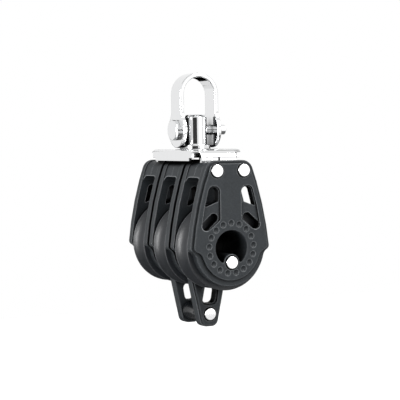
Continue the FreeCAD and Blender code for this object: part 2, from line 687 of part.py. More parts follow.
def becket_spool():
    """Waisted spool between the becket arms."""
    end_r = SPOOL_END_D / 2
    bore = RIVET_D / 2 + SPOOL_FIT
    waist = Part.Arc(vec(end_r, -HALF_GAP, 0), vec(SPOOL_WAIST_D / 2, 0, 0), vec(end_r, HALF_GAP, 0))
    far_end = Part.LineSegment(vec(end_r, HALF_GAP, 0), vec(bore, HALF_GAP, 0))
    inside = Part.LineSegment(vec(bore, HALF_GAP, 0), vec(bore, -HALF_GAP, 0))
    near_end = Part.LineSegment(vec(bore, -HALF_GAP, 0), vec(end_r, -HALF_GAP, 0))
    face = Part.Face(Part.Wire([curve.toShape() for curve in (waist, far_end, inside, near_end)]))
    spool = face.revolve(vec(0, 0, 0), vec(0, 1, 0), 360)
    spool.translate(vec(0, 0, BECKET_RIVET_Z))
    return spool


def at_block(shape, index):
    """Copy of a shape moved to the near (-1), middle (0) or far (1) block."""
    copy = shape.copy()
    copy.translate(vec(0, index * PITCH, 0))
    return copy


def save(name, shape):
    """Write one piece, moved so that the origin is at the bow's inner crown."""
    placed = shape.copy()
    placed.translate(vec(0, 0, -BOW_CROWN))
    placed.exportStep("parts/" + name + ".step")


def main():
    os.makedirs("parts", exist_ok=True)
    to_far = vec(0, 1, 0)
    save("shackle_bow", shackle_bow())
    save("clevis_pin", clevis_pin())
    save("swivel_post", swivel_post())
    save("swivel_washer", swivel_washer())
    save("head_bracket", head_bracket())

    outer_cheek = cheek(dimpled=True)
    inner_cheek = mirrored(cheek(), to_far)
    middle_cheek = cheek(holds_tongue=False, holds_becket=True)
    save("near_outer_cheek", at_block(outer_cheek, -1))
    save("near_inner_cheek", at_block(inner_cheek, -1))
    save("middle_near_cheek", middle_cheek)
    save("middle_far_cheek", mirrored(middle_cheek, to_far))
    save("far_inner_cheek", mirrored(at_block(inner_cheek, -1), to_far))
    save("far_outer_cheek", mirrored(at_block(outer_cheek, -1), to_far))

    wheel = sheave()
    balls = ball_row()
    for index, place in ((-1, "near"), (0, "middle"), (1, "far")):
        save(place + "_sheave", at_block(wheel, index))
        save(place + "_balls", at_block(balls, index))

    head_r = RIVET_HEAD_D / 2
    for name, (x, z) in zip(("upper_left", "upper_right", "lower"), rivet_places()):
        save(name + "_rivet", through_rivet(x, z, HEAD_SEAT, head_r, RIVET_HEAD, RIVET_D / 2))

    arm = becket_arm()
    arm_seat = PITCH / 2 + ARM_PAD_STEP - COUNTERBORE_DEPTH
    save("becket_near_arm", arm)
    save("becket_far_arm", mirrored(arm, to_far))
    save("becket_spool", becket_spool())
    save("becket_rivet", through_rivet(0, BECKET_RIVET_Z, arm_seat, head_r, RIVET_HEAD, RIVET_D / 2))


main()
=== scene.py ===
import json
import math

import bmesh
import bpy
from mathutils import Matrix, Vector


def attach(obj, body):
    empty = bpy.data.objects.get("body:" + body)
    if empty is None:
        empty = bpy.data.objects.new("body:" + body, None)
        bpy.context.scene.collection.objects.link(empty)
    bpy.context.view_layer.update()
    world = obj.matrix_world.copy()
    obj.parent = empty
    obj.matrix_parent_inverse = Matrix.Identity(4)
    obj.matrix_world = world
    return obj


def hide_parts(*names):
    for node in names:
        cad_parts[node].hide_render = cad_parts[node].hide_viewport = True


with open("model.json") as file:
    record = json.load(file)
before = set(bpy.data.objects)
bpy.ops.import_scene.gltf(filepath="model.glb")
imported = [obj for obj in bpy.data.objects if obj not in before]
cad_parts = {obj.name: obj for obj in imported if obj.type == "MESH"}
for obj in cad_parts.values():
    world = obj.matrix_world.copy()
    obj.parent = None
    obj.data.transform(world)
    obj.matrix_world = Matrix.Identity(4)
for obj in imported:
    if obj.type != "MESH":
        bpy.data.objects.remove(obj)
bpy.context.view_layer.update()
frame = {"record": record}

# Triple swivel block. The pieces are modelled in millimetres above the sheave axis, with X across the
# cheeks, Y along the sheave axis and Z up. They are then moved into the part's frame, whose origin is the
# bow's inner crown.
MM = 0.001

# Sheave and balls
SHEAVE_R = 14.5
SHEAVE_HALF = 4.75
SHEAVE_PLAY = 0.35
GROOVE_DEPTH = 2.3
RIM_LAND = 0.5
RIM_CHAMFER = 0.25
BALL_R = 1.5
BALL_COUNT = 17
RACE_PLAY = 0.12
RACE_WALL = 2.22
HUB_WALL = 0.84
SHOULDER_GAP = 0.75
RACE_R = BALL_R + RACE_PLAY
BALL_CIRCLE_R = SHEAVE_R - GROOVE_DEPTH - RACE_WALL - RACE_R
RACE_FLOOR = BALL_CIRCLE_R - RACE_R

# Cheek
CHEEK_BASE = 2.7
CHEEK_PAD = 0.9
HALF_GAP = SHEAVE_HALF + SHEAVE_PLAY
CHEEK = CHEEK_BASE + CHEEK_PAD
LEDGE_Y = -HALF_GAP - CHEEK_BASE
OUTER_Y = -HALF_GAP - CHEEK
PITCH = 2 * (HALF_GAP + CHEEK)
STACK_HALF = 1.5 * PITCH
PAD_INSET = 1.0
EDGE_EASE = 0.25
SEAM_EASE = 0.12
WEB_BOTTOM = SHEAVE_R + 9.1
SHIELD_TOP = WEB_BOTTOM + 5.6
SHIELD_BOTTOM = -0.4
SHIELD_TOP_HALF = 7.95
SHIELD_LOW_HALF = SHEAVE_R + 0.4
SIDE_BULGE = 1.0
SHIELD_TOP_CORNER = 4.0
SHIELD_LOW_CORNER = 1.5
FOOT_DROP = 1.4
LEDGE_R = SHEAVE_R - 1.6
PAD_DISC_R = SHEAVE_R - 3.6
WAIST_R = 3.0
HUB_HOLE_R = RACE_FLOOR - HUB_WALL
HUB_EASE = 0.32
RIVET_BOSS_R = 2.9
BOSS_CORNER = 0.45
DIMPLE_R = 1.05
DIMPLE_DEPTH = 0.45
WEB_INSET = 0.3
WEB_GUSSET = 2.3
WEB_SEAT = 0.1
WEB_OVERLAP = 0.5

# Window, slot and pocket on each side of the cheek
WINDOW_X = 4.3
WINDOW_RIM = 3.1
WINDOW_TOP = WEB_BOTTOM - 3.2
WINDOW_LOW = WINDOW_TOP - 6.6
WINDOW_SLANT = 1.9
WINDOW_CORNERS = (1.8, 1.6, 0.35, 0.8)
# Thickness of a dark sheet left in the far outer cheek's windows as painted shade; the real windows go
# through
WINDOW_SHADE_SKIN = 0.7
POCKET_X = 4.0
POCKET_RIM = 2.8
POCKET_TOP = WINDOW_TOP + 0.35
POCKET_WAIST = WINDOW_LOW + 0.2
POCKET_FOOT = 4.1
POCKET_SILL = 0.7
POCKET_DEPTH = 0.6
POCKET_CORNERS = (2.0, 1.8, 3.0, 1.85, 0.9)
SLOT_CIRCLE_R = BALL_CIRCLE_R + 3.6
SLOT_ANGLES = (39.3, 58.5)
SLOT_R = 1.5
MOUTH_EASE = 0.14

# Rivets
RIVET_R = 1.25
RIVET_HEAD_R = 2.125
RIVET_HEAD = 1.0
RIVET_EASE = 0.22
COUNTERBORE_R = RIVET_HEAD_R + 0.325
COUNTERBORE = 0.5
UPPER_RIVET_X = SHIELD_TOP_HALF - 2.95
UPPER_RIVET_Z = SHIELD_TOP - 3.4
LOWER_RIVET_Z = 1.05 - HUB_HOLE_R

# Head bracket
SHEET = 1.2
WASHER = 0.8
PEEN = 1.0
PEEN_CLEARANCE = 0.75
SWIVEL_PLAY = 0.05
WASHER_TOP = SHIELD_TOP + PEEN_CLEARANCE + PEEN + WASHER
TRAY_UNDERSIDE = WASHER_TOP + SWIVEL_PLAY
TRAY_TOP = TRAY_UNDERSIDE + SHEET
TRAY_LIP = SHIELD_TOP - 0.2
TRAY_HALF_WIDTH = SHIELD_TOP_HALF + 1.25
TRAY_HALF_LENGTH = PITCH + SHEET / 2
TRAY_SIDE_BEND = 1.6
TRAY_END_BEND = 3.5
TONGUE_HALF = SHIELD_TOP_HALF - 1.3
TONGUE_BOTTOM = WEB_BOTTOM + 0.2
TONGUE_CORNER = 1.6
TONGUE_FIT = 0.05
TONGUE_SLIT_HALF = 0.25
TONGUE_SLIT_LOW = UPPER_RIVET_Z + 2 * RIVET_R
TONGUE_SLIT_TOP = SHIELD_TOP + 1.2
CORNER_GAP = 1.6
LIP_GAP = 2.6
LIP_STEP = 2.0
LIP_STEP_HEIGHT = 1.0
SHEET_EASE = 0.16

# Swivel post and washer
SPIGOT_R = 2.5
SPIGOT_FIT = 0.05
POST_R = 4.1
FLANGE_R = POST_R + 1.3
FLANGE = 1.25
POST_CHAMFER = 0.8
POST_FOOT = 0.5
POST_TOP_EASE = 0.3
FLANGE_EASE = 0.1
WASHER_R = SPIGOT_R + 2.1
WASHER_EASE = 0.1
WASHER_BORE_EASE = 0.05
PEEN_R = SPIGOT_R + 0.8
PEEN_EASE = 0.6

# Shackle
PIN_R = 1.75
PIN_FIT = 0.05
PIN_HEAD_R = PIN_R + 1.8
PIN_HEAD = 1.6
PIN_HEAD_EASE = 0.3
PIN_SEAT_EASE = 0.1
PIN_STUB = 4.05
PIN_STUB_EASE = 0.35
LOBE_R = 6.2
LOBE_BLEND_R = 5.0
PIN_Z = TRAY_TOP + LOBE_R + 0.4
POST_TOP = PIN_Z + PIN_R + 3.45
BOW_STRIP = 1.5
BOW_HALF = FLANGE_R + 0.45 + BOW_STRIP
BOW_HALF_WIDTH = 3.85
BOW_EDGE = 0.45
BOW_EDGE_STEPS = 4
BOW_TOP = PIN_Z + 19.7
BOW_CROWN = BOW_TOP - BOW_STRIP

# Becket
BECKET_SEAT = SHEAVE_R - 1.1
BECKET_RIVET_Z = -BECKET_SEAT - 10.4
ARM_SHOULDER = 2.65 - BECKET_SEAT
ARM_TOP = -BECKET_SEAT - 0.3
ARM_BOTTOM = BECKET_RIVET_Z - 4.3
ARM_TOP_HALF = 6.7
ARM_LOW_HALF = 3.0
ARM_CORNER = 2.4
ARM_CHEEK_GAP = 0.25
ARM_PAD_STEP = 0.7
ARM_PAD_INSET = 0.45
ARM_WINDOW_TOP = -BECKET_SEAT - 0.8
ARM_WINDOW_TOP_HALF = 3.25
ARM_WINDOW_BOTTOM = BECKET_RIVET_Z + 3.7
ARM_WINDOW_LOW_HALF = 2.25
ARM_WINDOW_CORNER = 1.75
TANG = 1.8
TANG_HALF = 3.4
TANG_FIT = 0.05
SPOOL_END_R = 3.5
SPOOL_WAIST_R = 2.65
SPOOL_FIT = 0.05
SPOOL_EASE = 0.2

# Fineness of arcs, rounded edges and turned forms
ARC_STEP = math.radians(5)
CORNER_STEP = math.radians(11)
EASE_STEPS = 3
EASE_ANGLES = [math.pi / 2 * i / EASE_STEPS for i in range(EASE_STEPS + 1)]
SOFTEN_STEPS = 2
SOFTEN_ANGLE = math.radians(50)
DISH_STEPS = 5
DISH_TURN_STEPS = 32
SMALL_TURN_STEPS = 64
TURN_STEPS = 96
FINE_TURN_STEPS = 144
BALL_SUBDIVISIONS = 3
SMOOTH_ANGLE = math.radians(35)
NORMAL_WEIGHT = 80

# Limits of the mesh work. Points nearer than these are one, in millimetres and, for a seated piece, metres.
SAME_POINT = 1e-4
TURNED_WELD = 1e-5
SEATED_WELD = 2e-7
SEATED_SLIVER = 1e-7
LEAST_MITRE = 0.4

# How far cutters reach: past a face, and past the whole block
BEYOND = 1.0
FAR = 60.0

# Finishes, with linear colours, and with widths, reaches and depths in millimetres. Paler edges are partly
# wear and partly a painted highlight; darker hollows and dimmer reflections in them are painted shade.
SHADER_SAMPLES = 8
WHOLE = (0.0, 1.0)
NOISE_MIDDLE = (0.3, 0.7)
# Masks: a bevelled edge, for paler edges of wear and painted highlight, and openness, for painted shade in
# hollows
EDGE_RANGE = (0.88, 0.995)
PAINTED_SHADE_RANGE = (0.48, 0.9)
PAINTED_SHADE_REACH = 8.0
# Paler edge colour, partly wear and partly a painted highlight
WORN_AND_HIGHLIT_EDGE = (0.22, 0.23, 0.24)
NYLON_DARK = (0.011, 0.013, 0.015)
NYLON_PALE = (0.02, 0.0235, 0.0265)
NYLON_GRAIN = (0.038, 0.043, 0.047)
NYLON_GRAIN_RANGE = (0.45, 0.7)
NYLON_GRAIN_SHARE = (0.0, 0.5)
# Painted shade: the nylon's colour deep in hollows
NYLON_PAINTED_SHADE = (0.001, 0.001, 0.001)
NYLON_EDGE_WIDTH = 0.5
# Reflection levels in a hollow and in the open, lowered in hollows as painted shade
NYLON_SPECULAR = (0.04, 0.26)
NYLON_ROUGHNESS = (0.36, 0.56)
GRAIN_DEPTH = 0.018
FLOW_DEPTH = 0.02
ACETAL_EDGE_WIDTH = 0.4
# Reflection levels in a hollow and in the open, lowered in hollows as painted shade
ACETAL_SPECULAR = (0.25, 0.5)
SPECKLE_DEPTH = 0.012
RING_DEPTH = 0.006
# Dark and pale tones, then the edge colour, partly wear and partly a painted highlight
SHEAVE_COLOURS = ((0.01, 0.011, 0.013), (0.016, 0.018, 0.021), WORN_AND_HIGHLIT_EDGE)
SPOOL_COLOURS = ((0.004, 0.005, 0.006), (0.006, 0.007, 0.008), (0.01, 0.01, 0.01))
BALL_COLOURS = ((0.78, 0.77, 0.73), (0.85, 0.84, 0.8), (0.85, 0.84, 0.8))
STEEL_COLOUR = (0.83, 0.835, 0.84)
RIVET_COLOUR = (0.95, 0.95, 0.955)
STEEL_CLOUD = 0.96
# Painted shade: the steel's colour deep in hollows, with the range and reach of its mask
STEEL_PAINTED_SHADE = (0.03, 0.032, 0.035)
STEEL_PAINTED_SHADE_RANGE = (0.12, 0.5)
STEEL_PAINTED_SHADE_REACH = 6.0
POLISH_DEPTH = 0.0012

# The camera of the photograph, in millimetres from the sheave axis and radians
VIEW_AZIMUTH = math.radians(26.53)
VIEW_PITCH = 0.0425
VIEW_ROLL = -0.0155
VIEW_DISTANCE = 502.3
VIEW_RIGHT = 1.362
VIEW_UP = 15.158
LENS = 129.5
SENSOR = 36.0
CLIP_START = 0.01

# Stage, with the floor's size in metres. Floor and world have one brightness for the camera and another
# in mirrors.
FLOOR_Z = -80.0
FLOOR_SIZE = 0.9
FLOOR_COLOUR = (0.85, 0.85, 0.85)
FLOOR_ROUGHNESS = 0.9
FLOOR_LIFT = 0.6
FLOOR_MIRROR = 0.85
WORLD_LIGHT = 0.4
WORLD_SHOWN = 1.0
WORLD_MIRROR = 0.97
WHITE = (1, 1, 1, 1)

record = frame["record"]
BODY = {node: body for body, nodes in record["behaviour"]["bodies"].items() for node in nodes}
SLOT = {part["node"]: part["material_slot"] for part in record["subparts"]}


def row(x, y, z):
    """Point of the part's frame, in metres, from millimetres about the sheave axis."""
    return Vector((x, y, z - BOW_CROWN)) * MM


# Outlines

def straight(*points):
    """Chain of straight runs."""
    return [Vector(p) for p in points]


def centre_through(p, q, r):
    """Centre of the circle through three points."""
    d = 2 * (p.x * (q.y - r.y) + q.x * (r.y - p.y) + r.x * (p.y - q.y))
    pp, qq, rr = p.length_squared, q.length_squared, r.length_squared
    x = (pp * (q.y - r.y) + qq * (r.y - p.y) + rr * (p.y - q.y)) / d
    y = (pp * (r.x - q.x) + qq * (p.x - r.x) + rr * (q.x - p.x)) / d
    return Vector((x, y))


def arc_through(start, middle, end):
    """Chain along the arc through three points."""
    p, q, r = Vector(start), Vector(middle), Vector(end)
    centre = centre_through(p, q, r)
    first = math.atan2(p.y - centre.y, p.x - centre.x)
    turn = (math.atan2(r.y - centre.y, r.x - centre.x) - first) % (2 * math.pi)
    passing = (math.atan2(q.y - centre.y, q.x - centre.x) - first) % (2 * math.pi)
    if passing > turn:
        turn -= 2 * math.pi
    count = max(4, math.ceil(abs(turn) / ARC_STEP))
    radius = (p - centre).length
    angles = [first + turn * i / count for i in range(count + 1)]
    return [centre + Vector((math.cos(a), math.sin(a))) * radius for a in angles]


def shortened(chain, length):
    """A chain with this length taken off its start."""
    chain = list(chain)
    while (chain[1] - chain[0]).length <= length:
        length -= (chain[1] - chain[0]).length
        chain.pop(0)
    chain[0] = chain[0] + (chain[1] - chain[0]).normalized() * length
    return chain


def outline(chains, radii):
    """Closed outline of chains that meet at corners. radii rounds each chain's first corner."""
    count = len(chains)
    turns = []
    for k in range(count):
        corner = chains[k][0]
        back = (chains[k - 1][-2] - corner).normalized()
        ahead = (chains[k][1] - corner).normalized()
        turn = math.pi - back.angle(ahead)
        turns.append((turn, radii[k] * math.tan(turn / 2)))
    trimmed = []
    for k in range(count):
        chain = shortened(chains[k], turns[k][1])
        chain = shortened(chain[::-1], turns[(k + 1) % count][1])[::-1]
        trimmed.append(chain)
    points = []
    for k in range(count):
        if radii[k] > 0:
            points += rounding(trimmed[k - 1][-1], chains[k][0], trimmed[k][0], turns[k][0], radii[k])
        points += trimmed[k] if radii[k] > 0 or not points else trimmed[k][1:]
    return clean(points)


def rounding(start, corner, end, turn, radius):
    """Points inside a rounded corner, between the ends of its two sides."""
    handle = 4 / 3 * math.tan(turn / 4) * radius
    first = start + (corner - start).normalized() * handle
    second = end + (corner - end).normalized() * handle
    count = max(3, math.ceil(turn / CORNER_STEP))
    points = []
    for i in range(1, count):
        t = i / count
        s = 1 - t
        points.append(start * s**3 + first * 3 * s * s * t + second * 3 * s * t * t + end * t**3)
    return points


def clean(points):
    """An outline without doubled points, running anticlockwise."""
    kept = [p for i, p in enumerate(points) if (p - points[i - 1]).length > SAME_POINT]
    area = sum(kept[i - 1].x * p.y - p.x * kept[i - 1].y for i, p in enumerate(kept))
    return kept if area > 0 else kept[::-1]


def cornered(corners):
    """Closed outline of straight sides from corners (a, b, radius)."""
    count = len(corners)
    places = [Vector(corner[:2]) for corner in corners]
    chains = [[places[k], places[(k + 1) % count]] for k in range(count)]
    return outline(chains, [corner[2] for corner in corners])


def disc(radius, a=0.0, b=0.0, steps=TURN_STEPS):
    """Round outline."""
    angles = [2 * math.pi * i / steps for i in range(steps)]
    return [Vector((a + radius * math.cos(t), b + radius * math.sin(t))) for t in angles]


def inset_by(points, distance):
    """An outline moved inwards, or outwards where the distance is negative."""
    moved = []
    count = len(points)
    for i, here in enumerate(points):
        before = (here - points[i - 1]).normalized()
        after = (points[(i + 1) % count] - here).normalized()
        along = (before + after).normalized()
        reach = distance / max(along.dot(before), LEAST_MITRE)
        moved.append(here + Vector((-along.y, along.x)) * reach)
    return moved


# Solids

def add_object(name, shape):
    """Object of a finished bmesh."""
    bmesh.ops.recalc_face_normals(shape, faces=shape.faces)
    mesh = bpy.data.meshes.new(name)
    shape.to_mesh(mesh)
    shape.free()
    piece = bpy.data.objects.new(name, mesh)
    bpy.context.scene.collection.objects.link(piece)
    return piece


def along_y(a, b, level):
    return Vector((a, level, b))


def along_x(a, b, level):
    return Vector((level, a, b))


def loft(points, levels, to_space=along_y):
    """Closed solid whose outline is inset by a given amount at each level (place, inset)."""
    shape = bmesh.new()
    rings = []
    for place, inset in levels:
        rings.append([shape.verts.new(to_space(p.x, p.y, place)) for p in inset_by(points, inset)])
    count = len(points)
    for low, high in zip(rings, rings[1:]):
        for i in range(count):
            j = (i + 1) % count
            shape.faces.new((low[i], low[j], high[j], high[i]))
    shape.faces.new(rings[0][::-1])
    shape.faces.new(rings[-1])
    return add_object("loft", shape)


def rim(face, ease, way, side):
    """Levels of a rounded rim, from the face inwards.

    way is 1 at the low face and -1 at the high one, side is 1 for a plate and -1 for a cutter.
    """
    if ease == 0:
        return [(face, 0)]
    depths = [ease * (1 - math.cos(t)) for t in EASE_ANGLES]
    insets = [ease * (1 - math.sin(t)) for t in EASE_ANGLES]
    return [(face + way * depth, side * inset) for depth, inset in zip(depths, insets)]


def eased(low, high, low_ease, high_ease):
    """Levels of a plate whose rims are rounded at both faces."""
    return rim(low, low_ease, 1, 1) + rim(high, high_ease, -1, 1)[::-1]


def flared(low, high, low_ease, high_ease):
    """Levels of a cutter whose hole gets a rounded rim at both faces, and which reaches past them."""
    inside = rim(low, low_ease, 1, -1) + rim(high, high_ease, -1, -1)[::-1]
    return [(low - BEYOND, -low_ease)] + inside + [(high + BEYOND, -high_ease)]


def blind(low, floor, ease):
    """Levels of a cutter for a blind recess that opens at low, on the outer face."""
    return [(low - BEYOND, -ease)] + rim(low, ease, 1, -1) + [(floor, 0)]


def turned(profile, axis="Y", a=0.0, b=0.0, steps=TURN_STEPS):
    """Solid of revolution from a closed profile of (radius, place along the axis)."""
    shape = bmesh.new()
    rings = []
    for i in range(steps):
        c = math.cos(2 * math.pi * i / steps)
        s = math.sin(2 * math.pi * i / steps)
        ring = []
        for p in profile:
            u = p.x * c
            v = p.x * s
            place = {"X": (p.y, a + u, b + v), "Y": (a + u, p.y, b + v), "Z": (a + u, b + v, p.y)}[axis]
            ring.append(shape.verts.new(place))
        rings.append(ring)
    count = len(profile)
    for i in range(steps):
        one = rings[i]
        two = rings[(i + 1) % steps]
        for k in range(count):
            m = (k + 1) % count
            shape.faces.new((one[k], one[m], two[m], two[k]))
    bmesh.ops.remove_doubles(shape, verts=shape.verts, dist=TURNED_WELD)
    return add_object("turned", shape)


def rod(radius, low, high, axis, b=0.0, steps=TURN_STEPS):
    """Plain round rod along an axis."""
    corners = [(0, low, 0), (radius, low, 0), (radius, high, 0), (0, high, 0)]
    return turned(cornered(corners), axis, b=b, steps=steps)


def refresh(piece):
    """Apply a piece's modifiers to its mesh."""
    graph = bpy.context.evaluated_depsgraph_get()
    mesh = bpy.data.meshes.new_from_object(piece.evaluated_get(graph))
    old = piece.data
    piece.modifiers.clear()
    piece.data = mesh
    bpy.data.meshes.remove(old)


def combine(piece, other, operation):
    """Union, difference or intersection with another solid, which is used up."""
    modifier = piece.modifiers.new("combine", "BOOLEAN")
    modifier.object = other
    modifier.operation = operation
    modifier.solver = "EXACT"
    refresh(piece)
    mesh = other.data
    bpy.data.objects.remove(other)
    bpy.data.meshes.remove(mesh)
    return piece


def fused(piece, *others):
    for other in others:
        combine(piece, other, "UNION")
    return piece


def cut(piece, *others):
    for other in others:
        combine(piece, other, "DIFFERENCE")
    return piece


def together(pieces):
    """Several separate solids as one object."""
    shape = bmesh.new()
    for piece in pieces:
        shape.from_mesh(piece.data)
        mesh = piece.data
        bpy.data.objects.remove(piece)
        bpy.data.meshes.remove(mesh)
    return add_object("together", shape)


def box(x0, x1, y0, y1, z0, z1):
    """Plain block."""
    return loft(straight((x0, z0), (x1, z0), (x1, z1), (x0, z1)), [(y0, 0), (y1, 0)])


def copy_of(piece):
    """Separate copy of a solid."""
    twin = piece.copy()
    twin.data = piece.data.copy()
    bpy.context.scene.collection.objects.link(twin)
    return twin


def mirror(piece, x=1, y=1):
    """Mirror image across X or Y."""
    piece.data.transform(Matrix.Diagonal((x, y, 1, 1)))
    if x * y < 0:
        piece.data.flip_normals()
    return piece


def pair(make):
    """A solid and its mirror image across X, as one object."""
    return together([make(), mirror(make(), x=-1)])


def soften(piece, width, steps=SOFTEN_STEPS):
    """Round a piece's sharp edges."""
    bevel = piece.modifiers.new("bevel", "BEVEL")
    bevel.width = width
    bevel.segments = steps
    bevel.limit_method = "ANGLE"
    bevel.angle_limit = SOFTEN_ANGLE
    bevel.use_clamp_overlap = False
    bevel.miter_outer = "MITER_ARC"
    refresh(piece)
    return piece


def seat(piece, node, shift_y=0.0):
    """Move a finished solid to its place, smooth it and let it stand for its CAD node."""
    mesh = piece.data
    mesh.transform(Matrix.Translation((0, shift_y, -BOW_CROWN)))
    mesh.transform(Matrix.Scale(MM, 4))
    shape = bmesh.new()
    shape.from_mesh(mesh)
    bmesh.ops.remove_doubles(shape, verts=shape.verts, dist=SEATED_WELD)
    bmesh.ops.dissolve_degenerate(shape, edges=shape.edges, dist=SEATED_SLIVER)
    shape.to_mesh(mesh)
    shape.free()
    for polygon in mesh.polygons:
        polygon.use_smooth = True
    mesh.set_sharp_from_angle(angle=SMOOTH_ANGLE)
    weighted = piece.modifiers.new("weighted", "WEIGHTED_NORMAL")
    weighted.keep_sharp = True
    weighted.weight = NORMAL_WEIGHT
    refresh(piece)
    piece.name = node + "_form"
    piece.data.name = piece.name
    piece.data.materials.clear()
    piece.data.materials.append(MATERIALS[SLOT[node]])
    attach(piece, BODY[node])
    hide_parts(node)
    return piece


# Materials

def add_node(tree, kind, inputs=None, **settings):
    """Shader node with its settings and plain input values."""
    node = tree.nodes.new(kind)
    for name, value in settings.items():
        setattr(node, name, value)
    for name, value in (inputs or {}).items():
        node.inputs[name].default_value = value
    return node


def blank_material(name):
    """Material and its node tree."""
    material = bpy.data.materials.new(name)
    material.use_nodes = True
    return material, material.node_tree


def new_material(name, **inputs):
    """Principled material, with object coordinates in millimetres."""
    material, tree = blank_material(name)
    shader = tree.nodes["Principled BSDF"]
    for key, value in inputs.items():
        shader.inputs[key.replace("_", " ")].default_value = value
    coordinates = add_node(tree, "ShaderNodeTexCoord")
    scale = add_node(tree, "ShaderNodeVectorMath", operation="SCALE")
    scale.inputs["Scale"].default_value = 1 / MM
    tree.links.new(coordinates.outputs["Object"], scale.inputs[0])
    return material, tree, shader, scale.outputs["Vector"]


def noise(tree, vector, scale, detail=2.0, rough=0.5, stretch=None):
    """Noise at a scale per millimetre."""
    if stretch:
        mapping = add_node(tree, "ShaderNodeMapping", {"Scale": stretch})
        tree.links.new(vector, mapping.inputs["Vector"])
        vector = mapping.outputs["Vector"]
    node = add_node(tree, "ShaderNodeTexNoise", {"Scale": scale, "Detail": detail, "Roughness": rough})
    tree.links.new(vector, node.inputs["Vector"])
    return node.outputs["Fac"]


def ranged(tree, value, target, source=NOISE_MIDDLE):
    """A value brought from one range to another."""
    node = add_node(tree, "ShaderNodeMapRange")
    node.inputs["From Min"].default_value, node.inputs["From Max"].default_value = source
    node.inputs["To Min"].default_value, node.inputs["To Max"].default_value = target
    tree.links.new(value, node.inputs["Value"])
    return node.outputs["Result"]


def mixed(tree, factor, first, second):
    """Colour between two colours, each a plain one or the output of a node."""
    node = add_node(tree, "ShaderNodeMix", data_type="RGBA")
    for socket, colour in (("A", first), ("B", second)):
        if isinstance(colour, tuple):
            node.inputs[socket].default_value = (*colour, 1)
        else:
            tree.links.new(colour, node.inputs[socket])
    tree.links.new(factor, node.inputs["Factor"])
    return node.outputs["Result"]


def bumped(tree, shader, heights):
    """Bumps laid one on another, each with its height source and its depth in millimetres."""
    normal = None
    for height, depth in heights:
        bump = add_node(tree, "ShaderNodeBump", {"Strength": 1.0, "Distance": depth * MM})
        tree.links.new(height, bump.inputs["Height"])
        if normal:
            tree.links.new(normal, bump.inputs["Normal"])
        normal = bump.outputs["Normal"]
    tree.links.new(normal, shader.inputs["Normal"])


def openness_for_painted_shade(tree, reach, source):
    """How open a point lies, from 0 in a hollow to 1: the mask for painted shade in hollows."""
    node = add_node(tree, "ShaderNodeAmbientOcclusion", {"Distance": reach * MM}, samples=SHADER_SAMPLES)
    return ranged(tree, node.outputs["AO"], WHOLE, source)


def edge_and_shade_masks(tree, width):
    """How near a point is to an open edge, the mask for paler edges of wear and painted highlight, and how
    open it lies, the mask for painted shade, each from 0 to 1.
    """
    bevel = add_node(tree, "ShaderNodeBevel", {"Radius": width * MM}, samples=SHADER_SAMPLES)
    geometry = add_node(tree, "ShaderNodeNewGeometry")
    agree = add_node(tree, "ShaderNodeVectorMath", operation="DOT_PRODUCT")
    tree.links.new(bevel.outputs["Normal"], agree.inputs[0])
    tree.links.new(geometry.outputs["Normal"], agree.inputs[1])
    unshaded = openness_for_painted_shade(tree, PAINTED_SHADE_REACH, PAINTED_SHADE_RANGE)
    worn_and_highlit = add_node(tree, "ShaderNodeMath", operation="MULTIPLY")
    tree.links.new(ranged(tree, agree.outputs["Value"], WHOLE[::-1], EDGE_RANGE), worn_and_highlit.inputs[0])
    tree.links.new(unshaded, worn_and_highlit.inputs[1])
    return worn_and_highlit.outputs["Value"], unshaded


def nylon_material(name):
    """Glass-filled nylon: black, satin, with a fine moulded grain, faint flow marks, paler edges that are
    partly wear and partly a painted highlight, and painted shade that darkens it and dims its reflections
    in hollows.
    """
    material, tree, shader, mm = new_material(name)
    grain = noise(tree, mm, 3.2, detail=3.0, rough=0.65)
    flow = noise(tree, mm, 0.35, detail=3.0, rough=0.6, stretch=(1.0, 1.0, 0.35))
    worn_and_highlit, unshaded = edge_and_shade_masks(tree, NYLON_EDGE_WIDTH)
    body = mixed(tree, flow, NYLON_DARK, NYLON_PALE)
    body = mixed(tree, ranged(tree, grain, NYLON_GRAIN_SHARE, NYLON_GRAIN_RANGE), body, NYLON_GRAIN)
    # Paler edges, partly wear and partly a painted highlight
    body = mixed(tree, worn_and_highlit, body, WORN_AND_HIGHLIT_EDGE)
    # Painted shade: darker in hollows
    body = mixed(tree, unshaded, NYLON_PAINTED_SHADE, body)
    tree.links.new(body, shader.inputs["Base Color"])
    # Painted shade: dimmer reflections in hollows
    tree.links.new(ranged(tree, unshaded, NYLON_SPECULAR, WHOLE), shader.inputs["Specular IOR Level"])
    tree.links.new(ranged(tree, grain, NYLON_ROUGHNESS), shader.inputs["Roughness"])
    bumped(tree, shader, [(grain, GRAIN_DEPTH), (flow, FLOW_DEPTH)])
    return material


def acetal_material(name, colours, roughness, rings=False):
    """Turned-looking acetal: smooth, semi-gloss, paler at its edges, partly wear and partly a painted
    highlight, with painted shade that dims its reflections in hollows, and with or without faint rings.
    """
    dark, pale, edge = colours
    material, tree, shader, mm = new_material(name)
    speckle = noise(tree, mm, 1.2, detail=4.0, rough=0.6)
    worn_and_highlit, unshaded = edge_and_shade_masks(tree, ACETAL_EDGE_WIDTH)
    body = mixed(tree, speckle, dark, pale)
    # Paler edges, partly wear and partly a painted highlight
    tree.links.new(mixed(tree, worn_and_highlit, body, edge), shader.inputs["Base Color"])
    # Painted shade: dimmer reflections in hollows
    tree.links.new(ranged(tree, unshaded, ACETAL_SPECULAR, WHOLE), shader.inputs["Specular IOR Level"])
    tree.links.new(ranged(tree, speckle, (roughness - 0.05, roughness + 0.07)), shader.inputs["Roughness"])
    heights = [(speckle, SPECKLE_DEPTH)]
    if rings:
        heights.append((noise(tree, mm, 1.0, stretch=(0.02, 9.0, 0.02)), RING_DEPTH))
    bumped(tree, shader, heights)
    return material


